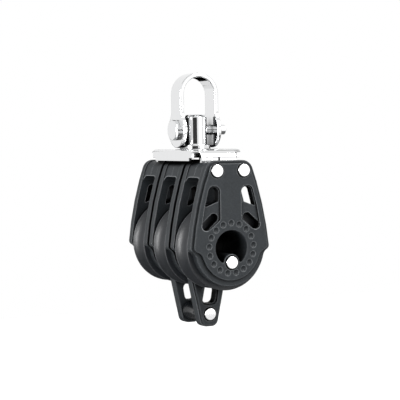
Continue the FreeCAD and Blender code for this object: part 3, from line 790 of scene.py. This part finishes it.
def steel_material(name, colour, roughness, waviness):
    """Polished stainless steel: bright, with faint polishing lines, slightly uneven faces and painted shade
    that darkens it in hollows.
    """
    material, tree, shader, mm = new_material(name, Metallic=1.0)
    clouds = noise(tree, mm, 0.6, detail=3.0, rough=0.55)
    lines = noise(tree, mm, 3.0, rough=0.6, stretch=(1.0, 1.0, 0.08))
    waves = noise(tree, mm, 0.12, detail=1.0, rough=0.4)
    clouded = tuple(c * STEEL_CLOUD for c in colour)
    unshaded = openness_for_painted_shade(tree, STEEL_PAINTED_SHADE_REACH, STEEL_PAINTED_SHADE_RANGE)
    # Painted shade: darker in hollows
    body = mixed(tree, unshaded, STEEL_PAINTED_SHADE, mixed(tree, clouds, clouded, colour))
    tree.links.new(body, shader.inputs["Base Color"])
    tree.links.new(ranged(tree, lines, (roughness * 0.6, roughness * 1.5)), shader.inputs["Roughness"])
    bumped(tree, shader, [(waves, waviness), (lines, POLISH_DEPTH)])
    return material


MATERIALS = {
    "moulded_nylon": nylon_material("moulded_nylon"),
    "sheave_acetal": acetal_material("sheave_acetal", SHEAVE_COLOURS, 0.36, rings=True),
    "spool_acetal": acetal_material("spool_acetal", SPOOL_COLOURS, 0.24),
    "ball_acetal": acetal_material("ball_acetal", BALL_COLOURS, 0.22),
    "polished_stainless": steel_material("polished_stainless", STEEL_COLOUR, 0.06, 0.015),
    "rivet_stainless": steel_material("rivet_stainless", RIVET_COLOUR, 0.1, 0.01),
}


# Cheeks

def bowed_side(inset):
    """Foot, middle and top of the cheek's bowed right side."""
    top_half = SHIELD_TOP_HALF - inset
    low_half = SHIELD_LOW_HALF - inset
    middle = Vector(((top_half + low_half) / 2 + SIDE_BULGE, (SHIELD_TOP + SHIELD_BOTTOM) / 2))
    return Vector((low_half, SHIELD_BOTTOM)), middle, Vector((top_half, SHIELD_TOP - inset))


def side_half(z):
    """Half-width of the cheek's upper part at one height."""
    foot, middle, top = bowed_side(0)
    centre = centre_through(foot, middle, top)
    return centre.x + math.sqrt((foot - centre).length_squared - (z - centre.y)**2)


def cheek_outline(inset, disc_r):
    """Flat top, bowed sides that widen downwards, and feet that sweep into the disc below."""
    foot, middle, top = bowed_side(inset)
    low = foot.y - FOOT_DROP
    disc_x = math.sqrt(disc_r**2 - low**2)
    corner = SHIELD_TOP_CORNER - inset
    right = arc_through(foot, middle, top)
    left = [Vector((-p.x, p.y)) for p in reversed(right)]
    chains = [
        straight(top, left[0]),
        left,
        straight(left[-1], (-disc_x, low)),
        arc_through((-disc_x, low), (0, -disc_r), (disc_x, low)),
        straight((disc_x, low), foot),
        right,
    ]
    return outline(chains, [corner, corner, SHIELD_LOW_CORNER, WAIST_R, WAIST_R, SHIELD_LOW_CORNER])


def web_outline():
    """Upper end of the cheek's outline, a little inside it."""
    corner = SHIELD_TOP_CORNER - WEB_INSET
    right = [p for p in arc_through(*bowed_side(WEB_INSET)) if p.y > WEB_BOTTOM - 2 * WEB_GUSSET]
    left = [Vector((-p.x, p.y)) for p in reversed(right)]
    chains = [straight(right[-1], left[0]), left, straight(left[-1], right[0]), right]
    return outline(chains, [corner, corner, 0, 0])


def web():
    """Half of the web over the sheave, with a concave gusset at the cheek."""
    body = loft(web_outline(), eased(-HALF_GAP - WEB_OVERLAP, 0, 0, SEAM_EASE))
    face = -HALF_GAP - WEB_SEAT
    throat = [(face, -FAR, 0), (FAR, -FAR, 0), (FAR, WEB_BOTTOM, 0), (face, WEB_BOTTOM, WEB_GUSSET)]
    return cut(body, loft(cornered(throat), [(-FAR, 0), (FAR, 0)], along_x))


def hub():
    """Half of the hub with half of the ball groove, still solid inside."""
    shoulder = BALL_CIRCLE_R - SHOULDER_GAP
    groove_half = math.sqrt(RACE_R**2 - SHOULDER_GAP**2)
    slant = math.atan2(groove_half, SHOULDER_GAP) / 2
    middle = (BALL_CIRCLE_R - RACE_R * math.cos(slant), -RACE_R * math.sin(slant))
    groove = arc_through((shoulder, -groove_half), middle, (RACE_FLOOR, 0))
    back = LEDGE_Y + EDGE_EASE
    profile = straight((0, 0), (0, back), (shoulder, back)) + groove
    return turned(clean(profile))


def hub_hole():
    """Cutter for the open hub, with the lower rivet's boss standing in it."""
    reach = -LOWER_RIVET_Z
    depth = (reach**2 + HUB_HOLE_R**2 - RIVET_BOSS_R**2) / (2 * reach)
    half = math.sqrt(HUB_HOLE_R**2 - depth**2)
    around = arc_through((half, -depth), (0, HUB_HOLE_R), (-half, -depth))
    over_boss = arc_through((-half, -depth), (0, LOWER_RIVET_Z + RIVET_BOSS_R), (half, -depth))
    points = outline([around, over_boss], [BOSS_CORNER, BOSS_CORNER])
    return loft(points, flared(OUTER_Y, 0, HUB_EASE, SEAM_EASE))


def slot_ends():
    """Centres of the slanted slot's two round ends, the lower one first, just outside the ball row."""
    angles = [math.radians(angle) for angle in SLOT_ANGLES]
    return [Vector((math.cos(a), math.sin(a))) * SLOT_CIRCLE_R for a in angles]


def slot_outline():
    """Slanted slot with round ends."""
    low, high = slot_ends()
    side = Vector((low.y - high.y, high.x - low.x)).normalized() * SLOT_R
    along = (high - low).normalized() * SLOT_R
    chains = [
        straight(low + side, high + side),
        arc_through(high + side, high + along, high - side),
        straight(high - side, low - side),
        arc_through(low - side, low - along, low + side),
    ]
    return outline(chains, [0, 0, 0, 0])


def window_outline():
    """Window between the web and the sheave's rim, its outer edge along the bowed side."""
    places = [(WINDOW_X, WINDOW_TOP)]
    places += [(side_half(z) - WINDOW_RIM, z) for z in (WINDOW_TOP, WINDOW_LOW)]
    places.append((WINDOW_X, WINDOW_LOW + WINDOW_SLANT))
    return cornered([(x, z, radius) for (x, z), radius in zip(places, WINDOW_CORNERS)])


def pocket_outline():
    """Shallow pocket round the window and the slot, its outer edge along the bowed side."""
    low_end, high_end = slot_ends()
    places = [(POCKET_X, POCKET_TOP)]
    places += [(side_half(z) - POCKET_RIM, z) for z in (POCKET_TOP, POCKET_WAIST, low_end.y - POCKET_FOOT)]
    places.append((POCKET_X, high_end.y - POCKET_SILL))
    return cornered([(x, z, radius) for (x, z), radius in zip(places, POCKET_CORNERS)])


def rivet_places():
    """Places of the three through rivets."""
    return [(-UPPER_RIVET_X, UPPER_RIVET_Z), (UPPER_RIVET_X, UPPER_RIVET_Z), (0, LOWER_RIVET_Z)]


def tang_outline(fit):
    """Flat upper end of a becket arm, round about the lower rivet."""
    half = TANG_HALF + fit
    end = RIVET_BOSS_R + fit
    low = ARM_TOP
    left = straight((-half, LOWER_RIVET_Z), (-half, low))
    right = straight((half, low), (half, LOWER_RIVET_Z))
    tip = arc_through((end, LOWER_RIVET_Z), (0, LOWER_RIVET_Z + end), (-end, LOWER_RIVET_Z))
    return outline([left, straight(left[-1], right[0]), right, [right[-1]] + tip + [left[0]]], [0, 0, 0, 0])


def counterbore(x, z, face):
    """Cutter for the round seat of a rivet's head."""
    return loft(disc(COUNTERBORE_R, x, z, SMALL_TURN_STEPS), blind(face, face + COUNTERBORE, MOUTH_EASE))


def outer_marks():
    """Cutters for the counterbores and for the ring of blind dimples, one over each ball."""
    cutters = []
    for x, z in rivet_places():
        cutters.append(counterbore(x, z, OUTER_Y))
    for i in range(BALL_COUNT):
        angle = 2 * math.pi * i / BALL_COUNT
        x = BALL_CIRCLE_R * math.sin(angle)
        z = BALL_CIRCLE_R * math.cos(angle)
        cutters.append(dish(x, z))
    return cutters


def dish(x, z):
    """Cutter for a shallow round dish in the cheek's face."""
    bowl = (DIMPLE_R**2 + DIMPLE_DEPTH**2) / (2 * DIMPLE_DEPTH)
    half_angle = math.asin(DIMPLE_R / bowl)
    levels = [(OUTER_Y - BEYOND, 0), (OUTER_Y, 0)]
    for i in range(DISH_STEPS):
        angle = half_angle * (1 - (i + 1) / (DISH_STEPS + 0.5))
        rise = bowl * (1 - math.cos(angle))
        levels.append((OUTER_Y + DIMPLE_DEPTH - rise, DIMPLE_R - bowl * math.sin(angle)))
    return loft(disc(DIMPLE_R, x, z, DISH_TURN_STEPS), levels)


def cheek(dimpled=False, holds_tongue=True, holds_becket=False, shade_skin=0):
    """Near cheek of a block whose middle plane is at y = 0. A thin dark sheet of the given thickness can
    close its windows, put there as painted shade for the dark seen through them; the real windows go
    through.
    """
    body = loft(cheek_outline(0, LEDGE_R), eased(LEDGE_Y, -HALF_GAP, EDGE_EASE, MOUTH_EASE))
    pad = loft(cheek_outline(PAD_INSET, PAD_DISC_R), eased(OUTER_Y, LEDGE_Y + EDGE_EASE * 2, EDGE_EASE, 0))
    fused(body, pad, web(), hub())
    cut(body, hub_hole())
    floor = OUTER_Y + POCKET_DEPTH
    cut(body, pair(lambda: loft(pocket_outline(), blind(OUTER_Y, floor, MOUTH_EASE))))
    windows = flared(floor, -HALF_GAP, MOUTH_EASE, MOUTH_EASE)
    # A thin dark sheet closes the windows, as painted shade
    if shade_skin:
        windows = [(floor + shade_skin, 0), (-HALF_GAP, 0), (-HALF_GAP + BEYOND, 0)]
    cut(body, pair(lambda: loft(window_outline(), windows)))
    cut(body, pair(lambda: loft(slot_outline(), flared(floor, -HALF_GAP, MOUTH_EASE, MOUTH_EASE))))
    if dimpled:
        cut(body, together(outer_marks()))
    if holds_tongue:
        reach = TONGUE_HALF + TONGUE_FIT
        half = SHEET / 2 + TONGUE_FIT
        cut(body, box(-reach, reach, -half, half, TONGUE_BOTTOM - TONGUE_FIT, FAR))
    if holds_becket:
        cut(body, loft(tang_outline(TANG_FIT), [(OUTER_Y - BEYOND, 0), (OUTER_Y + TANG, 0)]))
    return body


def make_cheeks():
    outer = cheek(dimpled=True)
    inner = mirror(cheek(), y=-1)
    middle = cheek(holds_tongue=False, holds_becket=True)
    # The far outer cheek's windows are closed by a thin dark sheet, as painted shade
    seat(mirror(cheek(dimpled=True, shade_skin=WINDOW_SHADE_SKIN), y=-1), "far_outer_cheek", PITCH)
    seat(outer, "near_outer_cheek", -PITCH)
    seat(mirror(copy_of(inner), y=-1), "far_inner_cheek", PITCH)
    seat(inner, "near_inner_cheek", -PITCH)
    seat(mirror(copy_of(middle), y=-1), "middle_far_cheek")
    seat(middle, "middle_near_cheek")


# Sheaves and balls

def sheave():
    """Grooved wheel with rounded rims and a ball race in its bore."""
    land = SHEAVE_HALF - RIM_LAND
    bore = BALL_CIRCLE_R + SHOULDER_GAP
    race_half = math.sqrt(RACE_R**2 - SHOULDER_GAP**2)
    chains = [
        straight((bore, -race_half), (bore, -SHEAVE_HALF)),
        straight((bore, -SHEAVE_HALF), (SHEAVE_R, -SHEAVE_HALF)),
        straight((SHEAVE_R, -SHEAVE_HALF), (SHEAVE_R, -land)),
        arc_through((SHEAVE_R, -land), (SHEAVE_R - GROOVE_DEPTH, 0), (SHEAVE_R, land)),
        straight((SHEAVE_R, land), (SHEAVE_R, SHEAVE_HALF)),
        straight((SHEAVE_R, SHEAVE_HALF), (bore, SHEAVE_HALF)),
        straight((bore, SHEAVE_HALF), (bore, race_half)),
        arc_through((bore, race_half), (BALL_CIRCLE_R + RACE_R, 0), (bore, -race_half)),
    ]
    rounded = [RIM_CHAMFER / 2, RIM_CHAMFER, RIM_CHAMFER / 2]
    return turned(outline(chains, [0, *rounded, *rounded, 0]), steps=FINE_TURN_STEPS)


def balls():
    """Full row of balls in one race."""
    shape = bmesh.new()
    for i in range(BALL_COUNT):
        angle = 2 * math.pi * i / BALL_COUNT
        centre = Vector((BALL_CIRCLE_R * math.sin(angle), 0, BALL_CIRCLE_R * math.cos(angle)))
        place = Matrix.Translation(centre)
        bmesh.ops.create_icosphere(shape, subdivisions=BALL_SUBDIVISIONS, radius=BALL_R, matrix=place)
    return add_object("balls", shape)


def make_wheels():
    for name, index in (("near", -1), ("middle", 0), ("far", 1)):
        seat(sheave(), name + "_sheave", index * PITCH)
        seat(balls(), name + "_balls", index * PITCH)


# Rivets

def rivet(x, z, head_seat):
    """Rivet along Y with a flat head at each end."""
    end = head_seat + RIVET_HEAD
    corners = [(0, -end, 0), (RIVET_HEAD_R, -end, RIVET_EASE), (RIVET_HEAD_R, -head_seat, 0)]
    corners += [(RIVET_R, -head_seat, 0), (RIVET_R, head_seat, 0)]
    corners += [(RIVET_HEAD_R, head_seat, 0), (RIVET_HEAD_R, end, RIVET_EASE), (0, end, 0)]
    return turned(cornered(corners), a=x, b=z, steps=SMALL_TURN_STEPS)


def make_rivets():
    names = ("upper_left_rivet", "upper_right_rivet", "lower_rivet")
    for name, (x, z) in zip(names, rivet_places()):
        seat(rivet(x, z, STACK_HALF - COUNTERBORE), name)
    becket_seat = -OUTER_Y + ARM_PAD_STEP - COUNTERBORE
    seat(rivet(0, BECKET_RIVET_Z, becket_seat), "becket_rivet")


# Head

def tray_form(inset):
    """Outer or inner form of the tray: long side bends crossed with larger end bends."""
    half_width = TRAY_HALF_WIDTH - inset
    half_length = TRAY_HALF_LENGTH - inset
    top = TRAY_TOP - inset
    low = TRAY_LIP - (SHEET if inset else 0)
    side = TRAY_SIDE_BEND - inset
    end = TRAY_END_BEND - inset
    across, along = [
        cornered([(-half, low, 0), (half, low, 0), (half, top, bend), (-half, top, bend)])
        for half, bend in ((half_width, side), (half_length, end))
    ]
    body = loft(across, [(-half_length, 0), (half_length, 0)])
    reach = half_width + BEYOND
    return combine(body, loft(along, [(-reach, 0), (reach, 0)], along_x), "INTERSECT")


def tray_corners():
    """Cutters for the open corners: a notch in the plate, and shorter side lips with stepped ends."""
    low = TRAY_LIP - BEYOND
    lip_end = TRAY_HALF_LENGTH - LIP_GAP
    bend_start = TRAY_HALF_WIDTH - TRAY_SIDE_BEND
    cutters = []
    for x in (-1, 1):
        for y in (-1, 1):
            notch = box(TONGUE_HALF, FAR, TRAY_HALF_LENGTH - CORNER_GAP, FAR, low, TRAY_TOP + BEYOND)
            lip = box(TONGUE_HALF, FAR, lip_end, FAR, low, TRAY_UNDERSIDE)
            step = box(bend_start, FAR, lip_end - LIP_STEP, FAR, low, TRAY_LIP + LIP_STEP_HEIGHT)
            cutters.append(mirror(fused(notch, lip, step), x=x, y=y))
    return cutters


def tongue():
    """End tongue that hangs into the web of an outer block."""
    high = TRAY_TOP - TRAY_END_BEND
    corners = [(-TONGUE_HALF, high, 0), (TONGUE_HALF, high, 0)]
    corners += [(TONGUE_HALF, TONGUE_BOTTOM, TONGUE_CORNER), (-TONGUE_HALF, TONGUE_BOTTOM, TONGUE_CORNER)]
    return loft(cornered(corners), [(-TRAY_HALF_LENGTH, 0), (-TRAY_HALF_LENGTH + SHEET, 0)])


def make_bracket():
    tray = cut(tray_form(0), tray_form(SHEET), *tray_corners())
    fused(tray, tongue(), mirror(tongue(), y=-1))
    slit = box(-TONGUE_SLIT_HALF, TONGUE_SLIT_HALF, -FAR, FAR, TONGUE_SLIT_LOW, TONGUE_SLIT_TOP)
    cut(tray, slit, rod(SPIGOT_R + SPIGOT_FIT, 0, FAR, "Z"))
    seat(soften(tray, SHEET_EASE), "head_bracket")


def pin_bore():
    """Cutter for the clevis pin's hole."""
    return rod(PIN_R + PIN_FIT, -FAR, FAR, "X", PIN_Z, SMALL_TURN_STEPS)


def make_post():
    peen_top = WASHER_TOP - WASHER
    flange_low = TRAY_TOP + SWIVEL_PLAY
    flange_top = flange_low + FLANGE
    corners = [
        (0, peen_top - PEEN, 0),
        (PEEN_R, peen_top - PEEN, PEEN_EASE),
        (PEEN_R, peen_top, 0),
        (SPIGOT_R, peen_top, 0),
        (SPIGOT_R, flange_low, 0),
        (FLANGE_R, flange_low, FLANGE_EASE),
        (FLANGE_R, flange_top, EDGE_EASE),
        (POST_R, flange_top, POST_FOOT),
        (POST_R, POST_TOP - POST_CHAMFER, POST_TOP_EASE),
        (POST_R - POST_CHAMFER, POST_TOP, POST_TOP_EASE),
        (0, POST_TOP, 0),
    ]
    seat(cut(turned(cornered(corners), "Z"), pin_bore()), "swivel_post")
    bore = SPIGOT_R + SPIGOT_FIT
    ring = [(bore, peen_top, WASHER_BORE_EASE), (WASHER_R, peen_top, WASHER_EASE)]
    ring += [(WASHER_R, WASHER_TOP, WASHER_EASE), (bore, WASHER_TOP, WASHER_BORE_EASE)]
    seat(turned(cornered(ring), "Z"), "swivel_washer")


def bow_arch(half, low, y_half):
    """Arch-shaped plate: a semicircle on straight legs."""
    centre = BOW_TOP - BOW_HALF
    over = arc_through((half, centre), (0, centre + half), (-half, centre))
    chains = [straight((half, low), (half, centre)), over, straight((-half, centre), (-half, low))]
    chains.append(straight((-half, low), (half, low)))
    return loft(outline(chains, [0, 0, 0, 0]), [(-y_half, 0), (y_half, 0)])


def bow_side():
    """Side view of the bow: a strip that widens to a round lobe about the pin."""
    low = PIN_Z - LOBE_R
    half = BOW_HALF_WIDTH
    blend_y = half + LOBE_BLEND_R
    rise = math.sqrt((LOBE_R + LOBE_BLEND_R)**2 - blend_y**2)
    share = LOBE_R / (LOBE_R + LOBE_BLEND_R)
    touch = (blend_y * share, PIN_Z + rise * share)
    turn = math.atan2(rise, blend_y) / 2
    bend = (blend_y - LOBE_BLEND_R * math.cos(turn), PIN_Z + rise - LOBE_BLEND_R * math.sin(turn))
    leg = (half, PIN_Z + rise)
    top = BOW_TOP + BEYOND
    chains = [
        arc_through((-touch[0], touch[1]), (0, low), touch),
        arc_through(touch, bend, leg),
        straight(leg, (half, top)),
        straight((half, top), (-half, top)),
        straight((-half, top), (-half, leg[1])),
        arc_through((-half, leg[1]), (-bend[0], bend[1]), (-touch[0], touch[1])),
    ]
    return loft(outline(chains, [0] * 6), [(-FAR, 0), (FAR, 0)], along_x)


def make_bow():
    low = PIN_Z - LOBE_R - BEYOND
    bow = bow_arch(BOW_HALF, low, LOBE_R + BEYOND)
    cut(bow, bow_arch(BOW_HALF - BOW_STRIP, low - BEYOND, LOBE_R + 2 * BEYOND))
    combine(bow, bow_side(), "INTERSECT")
    soften(bow, BOW_EDGE, BOW_EDGE_STEPS)
    seat(cut(bow, pin_bore()), "shackle_bow")


def make_pin():
    end = BOW_HALF + PIN_STUB
    face = -BOW_HALF - PIN_HEAD
    corners = [(0, face, 0), (PIN_HEAD_R, face, PIN_HEAD_EASE), (PIN_HEAD_R, -BOW_HALF, PIN_SEAT_EASE)]
    corners += [(PIN_R, -BOW_HALF, 0), (PIN_R, end, PIN_STUB_EASE), (0, end, 0)]
    seat(turned(cornered(corners), "X", b=PIN_Z), "clevis_pin")


# Becket

def arm_outline(inset):
    """Sides that close towards the spool and a rounded lower end."""
    top_half = ARM_TOP_HALF - inset
    low_half = ARM_LOW_HALF - inset
    corner = ARM_CORNER - inset
    low = ARM_BOTTOM + inset
    corners = [(-top_half, ARM_SHOULDER, 0), (-low_half, low, corner), (low_half, low, corner)]
    return cornered(corners + [(top_half, ARM_SHOULDER, 0)])


def arm_window(grow):
    """Window in a becket arm."""
    top = ARM_WINDOW_TOP + grow
    low = ARM_WINDOW_BOTTOM - grow
    top_half = ARM_WINDOW_TOP_HALF + grow
    low_half = ARM_WINDOW_LOW_HALF + grow
    places = [(-top_half, top), (top_half, top), (low_half, low), (-low_half, low)]
    return cornered([(x, z, ARM_WINDOW_CORNER) for x, z in places])


def becket_arm():
    """Near arm: windowed plate with a raised outer pad and a flat tang."""
    outer = OUTER_Y - ARM_PAD_STEP
    plate = loft(arm_outline(0), eased(OUTER_Y, -HALF_GAP, SEAM_EASE, EDGE_EASE))
    pad = loft(arm_outline(ARM_PAD_INSET), eased(outer, OUTER_Y + EDGE_EASE, EDGE_EASE, 0))
    cut(pad, loft(arm_window(ARM_PAD_INSET), flared(outer, OUTER_Y + EDGE_EASE, EDGE_EASE, 0)))
    cut(plate, loft(arm_window(0), flared(OUTER_Y, -HALF_GAP, SEAM_EASE, MOUTH_EASE)))
    arm = fused(plate, pad)
    cut(arm, loft(disc(LEDGE_R + ARM_CHEEK_GAP), [(outer - BEYOND, 0), (-HALF_GAP + BEYOND, 0)]))
    fused(arm, loft(tang_outline(0), [(OUTER_Y + TANG_FIT, 0), (OUTER_Y + TANG, 0)]))
    return cut(arm, counterbore(0, BECKET_RIVET_Z, outer))


def make_becket():
    arm = becket_arm()
    seat(mirror(copy_of(arm), y=-1), "becket_far_arm")
    seat(arm, "becket_near_arm")
    waist = arc_through((SPOOL_END_R, -HALF_GAP), (SPOOL_WAIST_R, 0), (SPOOL_END_R, HALF_GAP))
    bore = RIVET_R + SPOOL_FIT
    chains = [waist, straight(waist[-1], (bore, HALF_GAP)), straight((bore, HALF_GAP), (bore, -HALF_GAP))]
    chains.append(straight((bore, -HALF_GAP), waist[0]))
    seat(turned(outline(chains, [SPOOL_EASE, SPOOL_EASE, 0, 0]), b=BECKET_RIVET_Z), "becket_spool")


# Stage

def mirrored_rays(tree, path):
    """1 for rays that come by way of a mirror or glass, otherwise 0."""
    node = add_node(tree, "ShaderNodeMath", operation="MAXIMUM")
    tree.links.new(path.outputs["Is Glossy Ray"], node.inputs[0])
    tree.links.new(path.outputs["Is Transmission Ray"], node.inputs[1])
    return node.outputs["Value"]


def floor_material(name):
    """Pale matte paint, lifted for the camera, and of one brightness in mirrors and glass."""
    material, tree = blank_material(name)
    shader = tree.nodes["Principled BSDF"]
    shader.inputs["Base Color"].default_value = (*FLOOR_COLOUR, 1)
    shader.inputs["Roughness"].default_value = FLOOR_ROUGHNESS
    path = add_node(tree, "ShaderNodeLightPath")
    glow = add_node(tree, "ShaderNodeEmission", {"Strength": FLOOR_MIRROR})
    mix = add_node(tree, "ShaderNodeMixShader")
    output = tree.nodes["Material Output"]
    tree.links.new(mirrored_rays(tree, path), mix.inputs["Fac"])
    lift = add_node(tree, "ShaderNodeEmission")
    dim = add_node(tree, "ShaderNodeMath", operation="MULTIPLY")
    dim.inputs[1].default_value = FLOOR_LIFT
    tree.links.new(path.outputs["Is Camera Ray"], dim.inputs[0])
    tree.links.new(dim.outputs["Value"], lift.inputs["Strength"])
    both = add_node(tree, "ShaderNodeAddShader")
    tree.links.new(shader.outputs["BSDF"], both.inputs[0])
    tree.links.new(lift.outputs["Emission"], both.inputs[1])
    tree.links.new(both.outputs["Shader"], mix.inputs[1])
    tree.links.new(glow.outputs["Emission"], mix.inputs[2])
    tree.links.new(mix.outputs["Shader"], output.inputs["Surface"])
    return material


def make_floor():
    """Pale floor below the hanging block."""
    low = row(0, 0, FLOOR_Z).z
    bpy.ops.mesh.primitive_plane_add(size=FLOOR_SIZE, location=(0, 0, low))
    floor = bpy.context.object
    floor.name = "floor"
    floor.data.materials.append(floor_material("floor_paint"))


def turned_to(place, aim, front):
    """Rotation that points a front axis from a place to an aim."""
    return (row(*aim) - row(*place)).to_track_quat(front, "Y").to_euler()


def make_card(name, place, aim, width, height, shade=0.0):
    """Studio card that shows only in reflections."""
    bpy.ops.mesh.primitive_plane_add(size=1, location=row(*place))
    card = bpy.context.object
    card.name = name
    card.scale = (width * MM, height * MM, 1)
    card.rotation_euler = turned_to(place, aim, "Z")
    material, tree = blank_material(name)
    glow = add_node(tree, "ShaderNodeEmission", {"Color": (shade, shade, shade, 1), "Strength": 1.0})
    tree.links.new(glow.outputs["Emission"], tree.nodes["Material Output"].inputs["Surface"])
    card.data.materials.append(material)
    card.visible_camera = False
    card.visible_diffuse = False
    card.visible_shadow = False
    card.visible_transmission = False


def around_post(azimuth, elevation, distance):
    """Place and aim of a card seen from the post, its azimuth in degrees to the right of the camera."""
    turn = VIEW_AZIMUTH - math.radians(azimuth)
    rise = math.radians(elevation)
    flat = math.cos(rise) * distance
    place = (-math.sin(turn) * flat, -math.cos(turn) * flat, PIN_Z + math.sin(rise) * distance)
    return place, (0, 0, PIN_Z)


def make_cards():
    """Cards that give the polished steel its dark and white bands."""
    make_card("dark_camera_side", *around_post(0, 0, 300), 225, 70, 0.045)
    make_card("dark_behind", *around_post(190, -15, 260), 95, 115)
    make_card("dark_left_behind", *around_post(-150, 0, 300), 110, 220)
    make_card("dark_right_behind", *around_post(138, 0, 300), 120, 220)
    make_card("dark_back_above", *around_post(207, 42, 300), 300, 110)
    make_card("dark_below", (40, 20, FLOOR_Z + 2), (40, 20, 0), 360, 360, 0.15)
    make_card("white_right", *around_post(53, -2, 320), 170, 170, 1.5)


def make_light(name, place, aim, width, height, power):
    """Soft area light at a place, turned to an aim."""
    lamp = bpy.data.lights.new(name, "AREA")
    lamp.shape = "RECTANGLE"
    lamp.size = width * MM
    lamp.size_y = height * MM
    lamp.energy = power
    light = bpy.data.objects.new(name, lamp)
    light.location = row(*place)
    light.rotation_euler = turned_to(place, aim, "-Z")
    bpy.context.scene.collection.objects.link(light)


def make_world():
    """White behind the block, and an even studio light on it."""
    world = bpy.data.worlds.new("studio")
    bpy.context.scene.world = world
    world.use_nodes = True
    tree = world.node_tree
    tree.nodes.clear()
    path = add_node(tree, "ShaderNodeLightPath")
    lit, shown, mirrored = [
        add_node(tree, "ShaderNodeBackground", {"Color": WHITE, "Strength": strength})
        for strength in (WORLD_LIGHT, WORLD_SHOWN, WORLD_MIRROR)
    ]
    first = add_node(tree, "ShaderNodeMixShader")
    second = add_node(tree, "ShaderNodeMixShader")
    output = add_node(tree, "ShaderNodeOutputWorld")
    tree.links.new(mirrored_rays(tree, path), first.inputs["Fac"])
    tree.links.new(lit.outputs["Background"], first.inputs[1])
    tree.links.new(mirrored.outputs["Background"], first.inputs[2])
    tree.links.new(path.outputs["Is Camera Ray"], second.inputs["Fac"])
    tree.links.new(first.outputs["Shader"], second.inputs[1])
    tree.links.new(shown.outputs["Background"], second.inputs[2])
    tree.links.new(second.outputs["Shader"], output.inputs["Surface"])


def make_camera():
    """Camera fitted to the photograph."""
    ahead = Vector((math.sin(VIEW_AZIMUTH), math.cos(VIEW_AZIMUTH), 0)) * math.cos(VIEW_PITCH)
    ahead.z = -math.sin(VIEW_PITCH)
    level = Vector((math.cos(VIEW_AZIMUTH), -math.sin(VIEW_AZIMUTH), 0))
    above = level.cross(ahead)
    right = level * math.cos(VIEW_ROLL) + above * math.sin(VIEW_ROLL)
    up = above * math.cos(VIEW_ROLL) - level * math.sin(VIEW_ROLL)
    place = -ahead * VIEW_DISTANCE + level * VIEW_RIGHT + above * VIEW_UP
    data = bpy.data.cameras.new("camera")
    data.sensor_width = SENSOR
    data.lens = LENS
    data.clip_start = CLIP_START
    camera = bpy.data.objects.new("camera", data)
    rotation = Matrix((right, up, -ahead)).transposed().to_4x4()
    camera.matrix_world = Matrix.Translation(row(*place)) @ rotation
    bpy.context.scene.collection.objects.link(camera)
    bpy.context.scene.camera = camera


make_cheeks()
make_wheels()
make_rivets()
make_bracket()
make_post()
make_bow()
make_pin()
make_becket()

make_floor()
make_world()
make_camera()
make_light("key", (260, -380, 420), (0, 0, 15), 240, 240, power=3.8)
make_light("fill", (-420, -170, 45), (0, 0, 5), 150, 320, power=2.3)
make_cards()

bpy.context.scene.view_settings.view_transform = "Standard"
